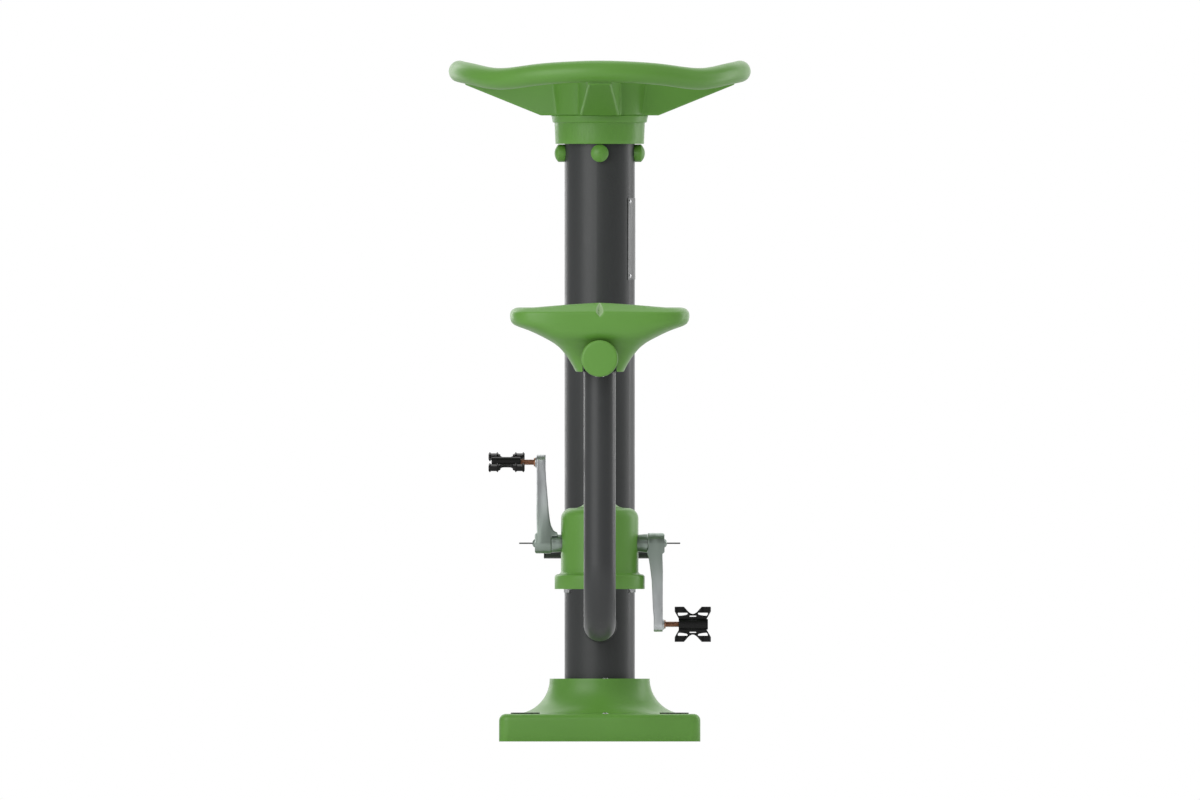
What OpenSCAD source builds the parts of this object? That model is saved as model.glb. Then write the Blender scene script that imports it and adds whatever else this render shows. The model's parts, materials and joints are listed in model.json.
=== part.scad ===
// Outdoor fitness bike: a round post on an anchored base, a wavy hand wheel on its top,
// and behind it a J-shaped tube with the seat and a bell housing with cranks and pedals.
// The origin is on the ground at the post's axis. The rider faces +Y, and +Z is up.

/* [Base] */
// Side of the square base cover
base_w = 400; // [396:1:460]
// Height of the cover's square block
base_h = 55; // [48:1:65]
// Plan radius of the cover's corners
base_corner_r = 20; // [18:1:30]
// Fillet along the cover's top edge
base_fillet_r = 13; // [8:1:15]
// Wall thickness of the moulded cover
cover_wall = 4; // [3:0.5:5]
// Distance of the trumpet's foot from the cover's sides
trumpet_edge = 30.65; // [28.65:1:40.65]
// Width of the trumpet's flat ring around the post
trumpet_ring_w = 29.5; // [28:0.5:31]
// Thickness of the steel base plate
plate_t = 12; // [8:1:16]
// Gap between the base plate's edge and the cover's wall
plate_edge_gap = 6; // [2:0.5:8]
// Spacing of the anchor bolts along X and along Y as a share of the cover's side
anchor_share = 0.74; // [0.715:0.005:0.755]
// Diameter of the anchor bolt holes
anchor_hole_d = 18; // [14:1:22]
// Diameter of the dark plugs over the anchor bolts
plug_d = 58; // [50:1:60]
// Height of a plug above the cover
plug_proud = 2.6; // [1:0.1:4]
// Distance of the cover's screws from the middle of each side
screw_offset = 11; // [9:0.5:14]
// Thickness of the ribs at the post's foot
rib_t = 8; // [6:0.5:10]

/* [Post] */
// Outer diameter of the post
post_d = 139.7; // [134:0.1:144]
// Wall of the post
post_wall = 4; // [3:0.5:6]
// Height of the hand wheel's underside
hub_z = 1244; // [1200:1:1300]
// Height of the cross tube's axis
cross_z = 384.8; // [350:1:420]
// Outer diameter of the cross tube
cross_d = 42.4; // [36:0.1:48.3]
// Length of the cross tube with its caps
cross_l = 222; // [190:1:240]
// Height of the info plate
info_h = 162; // [120:1:180]
// Angle that the info plate covers round the post
info_angle = 74; // [50:1:85]
// Distance of the info plate's middle below the hand wheel's hub
info_below = 245; // [244:1:314]

/* [Hand wheel] */
// Outer diameter of the wheel
wheel_d = 600; // [560:1:640]
// Diameter of the rim's round section
rim_d = 43; // [36:0.5:48]
// How far the rim waves above and below its middle height
rim_wave = 8.4; // [0:0.1:12]
// How much broader the wave's crests are than its hollows
wave_flat_share = 0.23; // [0:0.01:0.25]
// Height of the rim's highest point above the hub's underside
rim_rise = 109.1; // [100:0.1:120]
// Radius of the hub drum at its underside
hub_r = 94; // [90:0.5:98]
// Radius of the hub drum at its top
hub_top_r = 100; // [98:0.5:106]
// Height of the hub drum
hub_h = 86; // [80:1:90]
// Width of a wedge arm at the hub
arm_root_w = 84; // [70:1:92]
// Width of a wedge arm at the rim
arm_tip_w = 46; // [36:1:56]
// Length of the flat part of an arm's lower edge outside the hub
arm_flat = 23; // [10:1:35]
// Height of the stepped collar under the hub
collar_h = 56.5; // [48:0.5:64]
// Height of the collar's upper ring
collar_ring_h = 14; // [10:0.5:18]
// Diameter of the domed bolt caps
bolt_cap_d = 35; // [32:0.5:38]
// Distance of a bolt cap's dome from the post's surface
bolt_cap_out = 20; // [19:0.5:24]

/* [Seat] */
// Distance from the post's axis back to the seat tube
seat_back = 480; // [440:1:520]
// Outer diameter of the J-shaped seat tube and of the rail
seat_tube_d = 63.5; // [60.3:0.1:66]
// Wall of the seat tube and the rail
seat_tube_wall = 3.6; // [2.6:0.1:5]
// Height of the lower run's axis
lower_run_z = 231; // [215:1:240]
// Radius of the seat tube's bend, on its centre line
bend_r = 120; // [100:1:140]
// Height of the rail's axis
rail_z = 761; // [740:1:800]
// Length of the rail without its caps
rail_l = 296; // [270:1:300]
// Diameter of the rail's end caps
rail_cap_d = 73; // [70:0.5:78]
// Length of a cap outside the rail
rail_cap_l = 22; // [14:1:30]
// Width of the seat
seat_w = 356.7; // [330:0.1:380]
// Length of the seat
seat_l = 300; // [280:1:330]
// Height of the seat from its foot to its crest
seat_h = 137.4; // [130:0.1:150]
// How far the seat's foot reaches below the rail's axis
foot_drop = 26.4; // [20:0.1:30]
// Width of the seat's foot
foot_w = 95; // [90:1:104]
// Length of the seat's foot
foot_l = 192; // [180:1:210]
// How much narrower the seat's nose is than its rear
nose_narrowing = 70; // [40:1:90]
// How much higher the rear rim is in its middle than at its sides
seat_crown = 9.4; // [4:0.1:12]
// How much lower the front edge is than the rear rim
seat_waterfall = 14; // [6:0.5:20]
// Width of the drain groove in the rear rim
groove_w = 15; // [10:0.5:20]
// Wall of the hollow seat
seat_wall = 6; // [4:0.5:8]

/* [Drive] */
// Distance from the post's axis back to the drive's axis
drive_back = 240; // [232:1:256]
// Height of the crank axle
crank_z = 394; // [388:1:410]
// Radius of the bell housing's body
bell_r = 77; // [75:0.5:80]
// Radius of the housing's flange
flange_r = 89.5; // [88:0.5:94]
// Height of the flange
flange_h = 29.3; // [26:0.1:32]
// Distance of the flange's underside below the axle
flange_below = 91; // [86:0.1:94]
// Distance of the housing's shoulder above the axle
shoulder_above = 70; // [66:1:78]
// Corner radius of the shoulder
shoulder_r = 21; // [12:1:25]
// Radius of the concave fillet at the neck
neck_fillet_r = 29.4; // [24:0.1:30]
// Radius of the neck
neck_r = 22; // [20:0.5:24]
// Wall of the housing
bell_wall = 6; // [5:0.5:7]
// Circle diameter of the flange bolts
drive_pcd = 148; // [146:0.5:152]
// Number of flange bolts
drive_bolt_count = 6; // [4:1:8]
// Outer diameter of the pedestal under the drive plate
pedestal_d = 48.3; // [42.4:0.1:54]
// Thickness of the drive plate
drive_plate_t = 8; // [6:0.5:8]

/* [Cranks] */
// Crank length between the axle and the pedal spindle
crank_l = 161; // [145:1:165]
// Radius of the crank's boss
boss_r = 20.4; // [20:0.1:24]
// Radius of the crank's pedal end
crank_end_r = 15; // [12.5:0.5:17]
// Distance of the crank's outer face from the middle plane, at the boss
crank_out = 129; // [126:0.5:134]
// Thickness of the arm at its pedal end
crank_end_t = 18; // [14:0.5:20]
// Distance from the middle plane to the seam between sleeve and crank
sleeve_out = 95.6; // [94:0.1:97]
// Diameter of the crank axle
axle_d = 20; // [18:0.5:20.5]
// Distance of the thin pins' tips from the middle plane
pin_out = 160; // [145:1:175]
// Diameter of the thin pins
pin_d = 2.8; // [2:0.1:4]

/* [Pedals] */
// Distance of a pedal's middle from the middle plane
pedal_out = 185; // [180:0.5:195]
// Width of a pedal along its spindle
pedal_w = 72; // [66:1:80]
// Length of a pedal fore and aft
pedal_l = 70; // [64:1:80]
// Thickness of the pedal's treads
tread_t = 10.5; // [8:0.5:13]
// Diameter of the pedal's barrel
barrel_d = 21; // [18.5:0.5:23]
// Diameter of the pedal spindle
spindle_d = 11.5; // [10:0.1:12]
// Angle of the left pedal at rest
left_tilt = 22; // [-45:1:45]
// Angle of the right pedal at rest
right_tilt = 90; // [60:1:120]

/* [Hidden] */
$fn = 64;

green = [0.38, 0.56, 0.28];
dark_steel = [0.27, 0.28, 0.28];
zinc = [0.72, 0.73, 0.74];
cast_alloy = [0.59, 0.62, 0.62];
black = [0.11, 0.11, 0.11];
copper = [0.53, 0.4, 0.33];
plate_grey = [0.55, 0.56, 0.56];

// Clearances and overruns
cut = 2;
weld_gap = 0.2;
slip = 0.15;
run_gap = 0.04;
part_gap = 0.4;
thread_gap = 0.05;

// Base
post_r = post_d / 2;
post_in_r = post_r - post_wall;
ring_r = post_r + trumpet_ring_w;
trumpet_foot_r = base_w / 2 - trumpet_edge;
trumpet_r = trumpet_foot_r - ring_r;
ring_z = base_h + trumpet_r;
anchor_pitch = anchor_share * base_w;
plate_w = base_w - 2 * (cover_wall + plate_edge_gap);
plate_corner_r = base_corner_r - cover_wall - plate_edge_gap;
cover_inner_fillet = base_fillet_r - cover_wall;
block_screw_y = (trumpet_foot_r + base_w / 2 - base_fillet_r) / 2;
ring_screw_y = post_r + trumpet_ring_w / 2;
cover_under_z = base_h - cover_wall;
ring_under_z = ring_z - cover_wall;
plug_lip = 4;
plug_skirt_h = 8;
plug_skirt_wall = 3;
screw_d = 5;
screw_head_d = 12;
screw_head_h = 2.8;
screw_grip = 12;
screw_socket_d = 5;
standoff_d = 14;
rib_foot_w = 55;
rib_foot_h = 8;
rib_top_h = 20;
rib_top_gap = 2.4;

// Post
cross_r = cross_d / 2;
cross_wall = 3.2;
cross_cap_t = 3;
cross_cap_stem = 15;
info_t = 0.8;
info_z = hub_z - info_below;
rivet_d = 4.4;
rivet_head_d = 8;
rivet_head_h = 1.6;
rivet_inset = 7;

// Handle
spigot_gap = 0.1;
spigot_r = post_in_r - spigot_gap;
spigot_wall = 5;
spigot_in_r = spigot_r - spigot_wall;
spigot_depth = 144;
spigot_up = 66;
spigot_top_t = 10;
hub_web_t = 10;
hub_edge_r = 5;
hub_taper_h = 25;
wheel_r = wheel_d / 2;
rim_r = rim_d / 2;
rim_path_r = wheel_r - rim_r;
rim_mid_z = hub_z + rim_rise - rim_r - rim_wave;
arm_top_z = rim_mid_z + rim_wave + rim_r / 3;
arm_tip_r = rim_path_r - rim_r / 2;
arm_tip_drop = 5;
arm_root_bite = 14;
collar_z = hub_z - collar_h;
collar_step_z = hub_z - collar_ring_h;
collar_low_inset = 6;
collar_mid_inset = 4.2;
collar_ring_inset = 0.6;
collar_ring_proud = 2.3;
collar_low_r = hub_r - collar_low_inset;
collar_mid_r = hub_r - collar_mid_inset;
collar_ring_low_r = hub_r - collar_ring_inset;
collar_ring_r = hub_r + collar_ring_proud;
bolt_cap_gap = 1;
bolt_cap_z = collar_z - bolt_cap_d / 2 - bolt_cap_gap;
bolt_cap_dome = 8;
bolt_d = 12;
bolt_washer_r = 12;
bolt_washer_t = 2.5;
bolt_head_r = 10.9;
bolt_head_h = 7.5;
bolt_nut_h = 10;
cap_cavity_r = 13;
head_room = 1;
wheel_screw_r = 40;
wheel_screw_d = 10;
wheel_screw_head_r = 8;
wheel_screw_head_h = 6;
wheel_screw_l = 18;
hub_lip_w = 12;
hub_cap_r = hub_top_r - hub_lip_w;
hub_cap_rise = 10;
hub_cap_bore_r = 56;
hub_floor_z = hub_z + spigot_up + hub_web_t;
hub_top_z = hub_z + hub_h;
rim_steps = 80;
rim_sides = 16;

// Seat
tube_r = seat_tube_d / 2;
tube_in_r = tube_r - seat_tube_wall;
rail_in_r = tube_r - seat_tube_wall;
rail_overhang = 138;
rail_back_y = -seat_back - rail_overhang;
rail_front_y = rail_back_y + rail_l;
seat_shift = 3;
seat_mid_y = (rail_back_y + rail_front_y) / 2 - seat_shift;
rail_cap_stem = 25;
rail_cap_edge = 5;
seat_foot_z = rail_z - foot_drop;
seat_top_z = seat_foot_z + seat_h;
channel_side_gap = 1.4;
seat_bolt_d = 10;
seat_bolt_head_r = 8.5;
seat_bolt_head_h = 4.4;
seat_bolt_spread = 80;
seat_bolt_bite = 10;
groove_depth = 7.5;
groove_l = 38;
groove_low_share = 0.815;
seat_points = 48;
// Each row: height, half width, rear half length, front half length, weight of the crown.
// The first is a share of the seat's height, the others run from the foot's size to the full size.
seat_shares = [
    [0.000, 0.000, 0.000, 0.000, 0],
    [0.075, 0.040, 0.030, 0.030, 0],
    [0.152, 0.087, 0.090, 0.080, 0],
    [0.222, 0.135, 0.190, 0.150, 0],
    [0.280, 0.183, 0.310, 0.230, 0],
    [0.337, 0.235, 0.440, 0.320, 0],
    [0.373, 0.277, 0.540, 0.400, 0],
    [0.431, 0.360, 0.690, 0.530, 0],
    [0.488, 0.471, 0.860, 0.670, 0],
    [0.547, 0.594, 0.950, 0.790, 0],
    [0.604, 0.730, 0.982, 0.880, 0],
    [0.662, 0.898, 0.995, 0.950, 0],
    [0.702, 0.964, 1.000, 0.980, 0],
    [0.753, 0.992, 1.000, 0.995, 0],
    [0.811, 1.000, 1.000, 1.000, 0],
    [0.862, 0.996, 0.997, 0.990, 0],
    [0.880, 0.985, 0.970, 0.975, 0.15],
    [0.905, 0.960, 0.800, 0.950, 0.25],
    [0.924, 0.921, 0.580, 0.910, 0.55],
    [0.932, 0.850, 0.330, 0.850, 1],
    [0.925, 0.740, 0.100, 0.750, 0.9],
    [0.885, 0.560, -0.180, 0.580, 0.5],
    [0.850, 0.330, -0.420, 0.360, 0.1],
    [0.836, 0.080, -0.620, 0.100, 0]];
// Rows of the table above that the hollow follows, each with its inset in seat walls
cavity_rows = [9, 10, 11, 12, 13, 14];
cavity_inset_shares = [2.5, 2.4, 2.6, 1.5, 1.1, 1];
crown_half_share = 0.93;
// Powers that square off the plan of the seat: of a sine, at its foot and at its rim
foot_power = 0.32;
rim_power = 0.42;

// Drive
drive_y = -drive_back;
flange_z = crank_z - flange_below;
flange_top_z = flange_z + flange_h;
shoulder_z = crank_z + shoulder_above;
neck_rise = 6;
neck_top_z = shoulder_z + neck_fillet_r + neck_rise;
flange_edge_share = 0.48;
flange_edge_r = flange_edge_share * (flange_r - bell_r);
flange_fillet_r = flange_r - flange_edge_r - bell_r;
flange_skirt = 5.3;
bell_in_r = bell_r - bell_wall;
flange_inset = 10;
flange_in_r = bell_r - flange_inset;
drive_plate_r = flange_r - flange_skirt - part_gap;
drive_bolt_d = 8;
drive_bolt_head_r = 7.1;
drive_bolt_washer_r = 7.5;
drive_bolt_head_h = 5.4;
drive_bolt_washer_t = 1.6;
drive_bolt_l = 22;
plug_cap_t = 4;
plug_stem = 14;
side_hole_r = 19.6;
seal_in_gap = 0.3;
seal_set_in = 3;
block_x0 = 34;
block_x1 = 60;
block_r = 27;
block_foot_w = 40;
bearing_r = 21;
bearing_t = 12;
bearing_x0 = 36.5;
bearing_lip_r = 17.5;
ring_t = 6;
ring_bore_r = 15.5;
race_step = 1;
race_w = 4;
disc_r = 52;
disc_t = 8;
disc_hub_r = 16;
disc_hub_l = 40;
pad_t = 6;
pad_w = 24;
pad_h = 14;
pad_gap = 0.3;
pad_overlap = 12;
disc_room = 4;
holder_rise = 2;
holder_wall = 12;
holder_depth = 32;
brake_screw_d = 6;
brake_screw_head_r = 5;
brake_screw_head_h = 4;

// Cranks
axle_r = axle_d / 2;
axle_square = 12.7;
axle_end = 120;
sleeve_depth = 16;
sleeve_in = bell_r - sleeve_depth;
sleeve_r = 17.4;
sleeve_flare_r = 18.8;
sleeve_seam = 0.4;
crank_in = sleeve_out + sleeve_seam;
crank_taper = 3.6;
crank_bulge = 0.4;
flank_shares = [0.7, 0.35];
crank_end_out = crank_out - crank_taper;
crank_end_in = crank_end_out - crank_end_t;
crank_bolt_head_r = 8.2;
crank_bolt_head_h = 5;
bolt_rim = 1.2;
crank_bolt_d = 8;
crank_bolt_l = 24;
pin_seat = 3;
boss_edge = 4.2;
end_collar_r = 10.5;
end_collar_h = 3;
// Inner edge of the left crank's web: shares of the way out to the arm and up the arm
left_web_shares = [[0.2, 0.13], [0.47, 0.157], [0.63, 0.218], [0.71, 0.28], [0.75, 0.342],
    [0.79, 0.404], [0.845, 0.527], [0.9, 0.65], [0.96, 0.774], [1, 0.91]];
// The same for the right crank, whose web is slimmer
right_web_shares = [[0.55, 0.127], [0.67, 0.2], [0.73, 0.269], [0.86, 0.456], [0.94, 0.8], [1, 0.91]];
web_gap = 1;
web_start = bell_r + web_gap;
web_low_share = 0.8;
web_low_z = web_low_share * sleeve_r;

// Pedals
body_w_share = 0.78;
body_w = pedal_w * body_w_share;
web_t = 4;
ridge_w = 2.6;
ridge_h = 2.2;
// One quarter of a pedal's plan in shares of its half width and half length: waist, outer strut,
// tread, then the curve of the notch between two treads
outline_shares = [[0, 0], [body_w_share, 0], [body_w_share, 0.328], [1, 0.728], [1, 1],
    [0.49, 1], [0.44, 0.94], [0.385, 0.88], [0.335, 0.824], [0.29, 0.768], [0.24, 0.711],
    [0.175, 0.656], [0.09, 0.606], [0, 0.586]];
// Where a tread starts, outwards from the middle and fore or aft
tread_shares = [0.34, 0.65];
// The window below a tread, and the slit in the middle: its half width, start and end
window_shares = [[0.839, tread_shares[1]], [0.815, 0.545], [0.775, 0.483], [0.611, 0.494],
    [0.472, 0.514], [0.347, 0.54], [0.286, 0.58], [0.286, tread_shares[1]]];
slit_shares = [0.19, 0.43, 0.487];
// Middle of each ridge on a tread
ridge_shares = [0.505, 0.925];
bush_wall = 2.4;
bush_l = 14;
barrel_r = barrel_d / 2;
spindle_r = spindle_d / 2;
bush_r = spindle_r + run_gap + bush_wall;
spindle_collar_r = 8.5;
spindle_collar_l = 5;
spindle_inset = 14;
spindle_tip = pedal_out + pedal_w / 2 - spindle_inset;
nut_r = 8;
nut_t = 5;
thread_end = 1;
pedal_cap_t = 2;
pedal_cap_wall = 1;

// Shapes shared by several parts

module x_rod(r, x0, x1) {
    translate([x0, 0, 0])
        rotate([0, 90, 0])
            cylinder(r = r, h = x1 - x0);
}

module y_rod(r, y0, y1) {
    translate([0, y0, 0])
        rotate([-90, 0, 0])
            cylinder(r = r, h = y1 - y0);
}

// Rod along X whose far end is a dome of the given height
module x_dome(r, x0, x1, rise) {
    ball_r = (r * r + rise * rise) / (2 * rise);
    rotate([0, 90, 0])
        rotate_extrude()
            intersection() {
                translate([0, x0])
                    square([r, x1 - x0]);
                translate([0, x1 - ball_r])
                    circle(r = ball_r, $fn = 128);
            }
}

module x_hex(r, x0, x1) {
    translate([x0, 0, 0])
        rotate([0, 90, 0])
            cylinder(r = r, h = x1 - x0, $fn = 6);
}

module rear_and_front() {
    for (turn = [0, 180])
        rotate([0, 0, turn])
            children();
}

module four_ways() {
    for (turn = [0, 90, 180, 270])
        rotate([0, 0, turn])
            children();
}

module four_corners(x, y) {
    for (sx = [-1, 1], sy = [-1, 1])
        translate([sx * x, sy * y, 0])
            children();
}

module rounded_square(w, r, h) {
    translate([-w / 2, -w / 2 + r, 0])
        cube([w, w - 2 * r, h]);
    translate([-w / 2 + r, -w / 2, 0])
        cube([w - 2 * r, w, h]);
    four_corners(w / 2 - r, w / 2 - r)
        cylinder(r = r, h = h);
}

// Square block whose plan corners have radius r and whose top edge has fillet f
module filleted_block(w, r, h, f) {
    bar_l = w - 2 * r;
    for (turn = [0, 90])
        rotate([90, 0, turn])
            translate([0, 0, -bar_l / 2])
                linear_extrude(bar_l)
                    filleted_section(w, h, f);
    four_corners(w / 2 - r, w / 2 - r)
        rotate_extrude()
            intersection() {
                filleted_section(2 * r, h, f);
                square([r, h]);
            }
}

module filleted_section(w, h, f) {
    translate([-w / 2, 0])
        square([w, h - f]);
    translate([-w / 2 + f, 0])
        square([w - 2 * f, h]);
    for (side = [-1, 1])
        translate([side * (w / 2 - f), h - f])
            circle(r = f);
}

module trumpet(flank_r, top_z) {
    low_z = base_h - 2 * cover_wall;
    rotate_extrude($fn = 96)
        difference() {
            translate([0, low_z])
                square([trumpet_foot_r, top_z - low_z]);
            translate([trumpet_foot_r, ring_z])
                circle(r = flank_r);
        }
}

// Base

module base_plate() {
    color(zinc)
        difference() {
            rounded_square(plate_w, plate_corner_r, plate_t);
            four_corners(anchor_pitch / 2, anchor_pitch / 2)
                translate([0, 0, -cut])
                    cylinder(d = anchor_hole_d, h = plate_t + 2 * cut);
        }
}

module post_ribs() {
    foot_y = post_r + weld_gap;
    top_y = ring_r - cover_wall - rib_top_gap;
    color(dark_steel)
        difference() {
            four_ways()
                translate([screw_offset - rib_t / 2, 0, 0])
                    rotate([90, 0, 90])
                        linear_extrude(rib_t)
                            polygon([
                                [-foot_y, plate_t],
                                [-foot_y - rib_foot_w, plate_t],
                                [-foot_y - rib_foot_w, plate_t + rib_foot_h],
                                [-top_y, ring_under_z - rib_top_h],
                                [-top_y, ring_under_z],
                                [-foot_y, ring_under_z]]);
            rear_and_front()
                translate([screw_offset, -ring_screw_y, ring_under_z - screw_grip])
                    cylinder(d = screw_d + 2 * thread_gap, h = screw_grip + cut);
        }
}

module cover_standoffs() {
    color(zinc)
        rear_and_front()
            translate([screw_offset, -block_screw_y, 0])
                difference() {
                    translate([0, 0, plate_t])
                        cylinder(d = standoff_d, h = cover_under_z - plate_t);
                    translate([0, 0, cover_under_z - screw_grip])
                        cylinder(d = screw_d + 2 * thread_gap, h = screw_grip + cut);
                }
}

module base_cover() {
    color(green)
        difference() {
            union() {
                filleted_block(base_w, base_corner_r, base_h, base_fillet_r);
                trumpet(trumpet_r, ring_z);
            }
            translate([0, 0, -cut])
                filleted_block(base_w - 2 * cover_wall, base_corner_r - cover_wall,
                    cover_under_z + cut, cover_inner_fillet);
            trumpet(trumpet_r + cover_wall, ring_under_z);
            cylinder(r = post_r + slip, h = ring_z + cut);
            four_corners(anchor_pitch / 2, anchor_pitch / 2)
                cylinder(r = plug_d / 2 - plug_lip, h = base_h + cut);
            rear_and_front() {
                translate([screw_offset, -block_screw_y, 0])
                    cylinder(d = screw_d + 2 * slip, h = base_h + cut);
                translate([screw_offset, -ring_screw_y, 0])
                    cylinder(d = screw_d + 2 * slip, h = ring_z + cut);
            }
        }
}

module anchor_plugs() {
    skirt_r = plug_d / 2 - plug_lip - slip;
    color(black)
        four_corners(anchor_pitch / 2, anchor_pitch / 2)
            translate([0, 0, base_h]) {
                cylinder(d = plug_d, h = plug_proud);
                difference() {
                    translate([0, 0, -plug_skirt_h])
                        cylinder(r = skirt_r, h = plug_skirt_h + plug_proud / 2);
                    translate([0, 0, -plug_skirt_h - cut])
                        cylinder(r = skirt_r - plug_skirt_wall, h = plug_skirt_h + cut);
                }
            }
}

module cover_screw() {
    translate([0, 0, -screw_grip])
        cylinder(d = screw_d, h = screw_grip);
    difference() {
        cylinder(d = screw_head_d, h = screw_head_h);
        translate([0, 0, screw_head_h / 2])
            cylinder(d = screw_socket_d, h = screw_head_h, $fn = 6);
    }
}

module cover_screws() {
    color(zinc)
        rear_and_front() {
            translate([screw_offset, -block_screw_y, base_h])
                cover_screw();
            translate([screw_offset, -ring_screw_y, ring_z])
                cover_screw();
        }
}

// Post and what it carries

module main_post() {
    color(dark_steel)
        difference() {
            translate([0, 0, plate_t])
                cylinder(r = post_r, h = hub_z - plate_t, $fn = 96);
            translate([0, 0, plate_t - cut])
                cylinder(r = post_in_r, h = hub_z - plate_t + 2 * cut, $fn = 96);
            translate([0, 0, cross_z])
                x_rod(cross_r + slip, -post_r - cut, post_r + cut);
            translate([0, 0, bolt_cap_z])
                four_ways()
                    x_rod(bolt_d / 2 + slip, post_in_r - cut, post_r + cut);
            rivet_places()
                x_rod(rivet_d / 2 + slip, post_in_r - cut, post_r + cut);
        }
}

module cross_tube() {
    half = cross_l / 2 - cross_cap_t;
    color(dark_steel)
        translate([0, 0, cross_z])
            difference() {
                x_rod(cross_r, -half, half);
                x_rod(cross_r - cross_wall, -half - cut, half + cut);
            }
}

module cross_tube_caps() {
    half = cross_l / 2;
    color(black)
        translate([0, 0, cross_z])
            for (side = [0, 1])
                mirror([side, 0, 0]) {
                    x_rod(cross_r, half - cross_cap_t, half);
                    x_rod(cross_r - cross_wall - slip, half - cross_cap_stem, half);
                }
}

module rivet_places() {
    edge_angle = (rivet_inset / post_r) * 180 / PI;
    for (a = [-1, 1], z = [-1, 1])
        translate([0, 0, info_z + z * (info_h / 2 - rivet_inset)])
            rotate([0, 0, a * (info_angle / 2 - edge_angle)])
                children();
}

module info_plate() {
    in_r = post_r + weld_gap;
    color(plate_grey)
        difference() {
            translate([0, 0, info_z - info_h / 2])
                rotate([0, 0, -info_angle / 2])
                    rotate_extrude(angle = info_angle, $fn = 96)
                        translate([in_r, 0])
                            square([info_t, info_h]);
            rivet_places()
                x_rod(rivet_d / 2 + slip, in_r - cut, in_r + info_t + cut);
        }
}

module plate_rivets() {
    head_x = post_r + weld_gap + info_t + slip;
    color(zinc)
        rivet_places() {
            x_rod(rivet_d / 2, post_in_r, head_x + rivet_head_h / 2);
            x_rod(rivet_head_d / 2, head_x, head_x + rivet_head_h / 2);
            x_rod(rivet_head_d / 3, head_x, head_x + rivet_head_h);
        }
}

// Hand wheel and its fixing

module handle_spigot() {
    color(zinc)
        difference() {
            translate([0, 0, hub_z - spigot_depth])
                cylinder(r = spigot_r, h = spigot_depth + spigot_up, $fn = 96);
            translate([0, 0, hub_z - spigot_depth - cut])
                cylinder(r = spigot_in_r, h = spigot_depth + spigot_up - spigot_top_t + cut,
                    $fn = 96);
            translate([0, 0, bolt_cap_z])
                four_ways()
                    x_rod(bolt_d / 2 + slip, spigot_in_r - cut, spigot_r + cut);
            four_ways()
                translate([wheel_screw_r, 0, hub_z])
                    cylinder(d = wheel_screw_d + 2 * thread_gap, h = spigot_up + cut);
        }
}

module handle_bolts() {
    washer_x = post_r + slip;
    head_x = washer_x + bolt_washer_t;
    nut_x = sqrt(spigot_in_r * spigot_in_r - bolt_head_r * bolt_head_r) - slip;
    color(zinc)
        translate([0, 0, bolt_cap_z])
            four_ways() {
                x_rod(bolt_d / 2, nut_x - bolt_nut_h - bolt_d / 4, head_x + bolt_head_h / 2);
                x_rod(bolt_washer_r, washer_x, head_x);
                x_hex(bolt_head_r, head_x, head_x + bolt_head_h);
                x_hex(bolt_head_r, nut_x - bolt_nut_h, nut_x);
            }
}

module bolt_caps() {
    cap_r = bolt_cap_d / 2;
    tip = post_r + bolt_cap_out;
    cavity_x = post_r + slip + bolt_washer_t + bolt_head_h + head_room;
    color(green)
        translate([0, 0, bolt_cap_z])
            four_ways()
                difference() {
                    x_dome(cap_r, post_r - cap_r, tip, bolt_cap_dome);
                    translate([0, 0, -cap_r - cut])
                        cylinder(r = post_r + slip, h = bolt_cap_d + 2 * cut, $fn = 96);
                    x_rod(cap_cavity_r, post_r - cap_r, cavity_x);
                }
}

module hub_collar() {
    in_r = post_r + slip;
    color(green)
        rotate_extrude($fn = 96)
            polygon([
                [in_r, collar_z],
                [collar_low_r, collar_z],
                [collar_mid_r, collar_step_z],
                [collar_ring_low_r, collar_step_z],
                [collar_ring_r, hub_z],
                [in_r, hub_z]]);
}

function wave_at(turn) =
    rim_wave * (cos(4 * turn) + wave_flat_share * (1 - cos(8 * turn)));

function rim_point(i, j) =
    let (turn = 360 * i / rim_steps)
    let (around = 360 * j / rim_sides)
    let (r = rim_path_r + rim_r * cos(around))
    [r * cos(turn), r * sin(turn), rim_mid_z + wave_at(turn) + rim_r * sin(around)];

module wavy_rim() {
    points = [for (i = [0 : rim_steps - 1], j = [0 : rim_sides - 1]) rim_point(i, j)];
    faces = [for (i = [0 : rim_steps - 1], j = [0 : rim_sides - 1])
        let (i2 = (i + 1) % rim_steps)
        let (j2 = (j + 1) % rim_sides)
        let (a = i * rim_sides + j)
        let (b = i2 * rim_sides + j)
        let (c = i2 * rim_sides + j2)
        let (d = i * rim_sides + j2)
        each [[a, c, b], [a, d, c]]];
    polyhedron(points = points, faces = faces);
}

// Wedge arm along +X: its side outline met with its tapered plan outline
module wedge_arm() {
    root_x = hub_r - arm_root_bite;
    flat_x = hub_r + arm_flat;
    tip_low_z = rim_mid_z + rim_wave - rim_r - arm_tip_drop;
    intersection() {
        translate([0, wheel_r, 0])
            rotate([90, 0, 0])
                linear_extrude(wheel_d)
                    polygon([
                        [root_x, hub_z],
                        [flat_x, hub_z],
                        [arm_tip_r, tip_low_z],
                        [arm_tip_r, arm_top_z],
                        [root_x, hub_top_z - hub_edge_r]]);
        translate([0, 0, hub_z])
            linear_extrude(rim_rise)
                polygon([
                    [root_x, -arm_root_w / 2],
                    [arm_tip_r, -arm_tip_w / 2],
                    [arm_tip_r, arm_tip_w / 2],
                    [root_x, arm_root_w / 2]]);
    }
}

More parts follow.
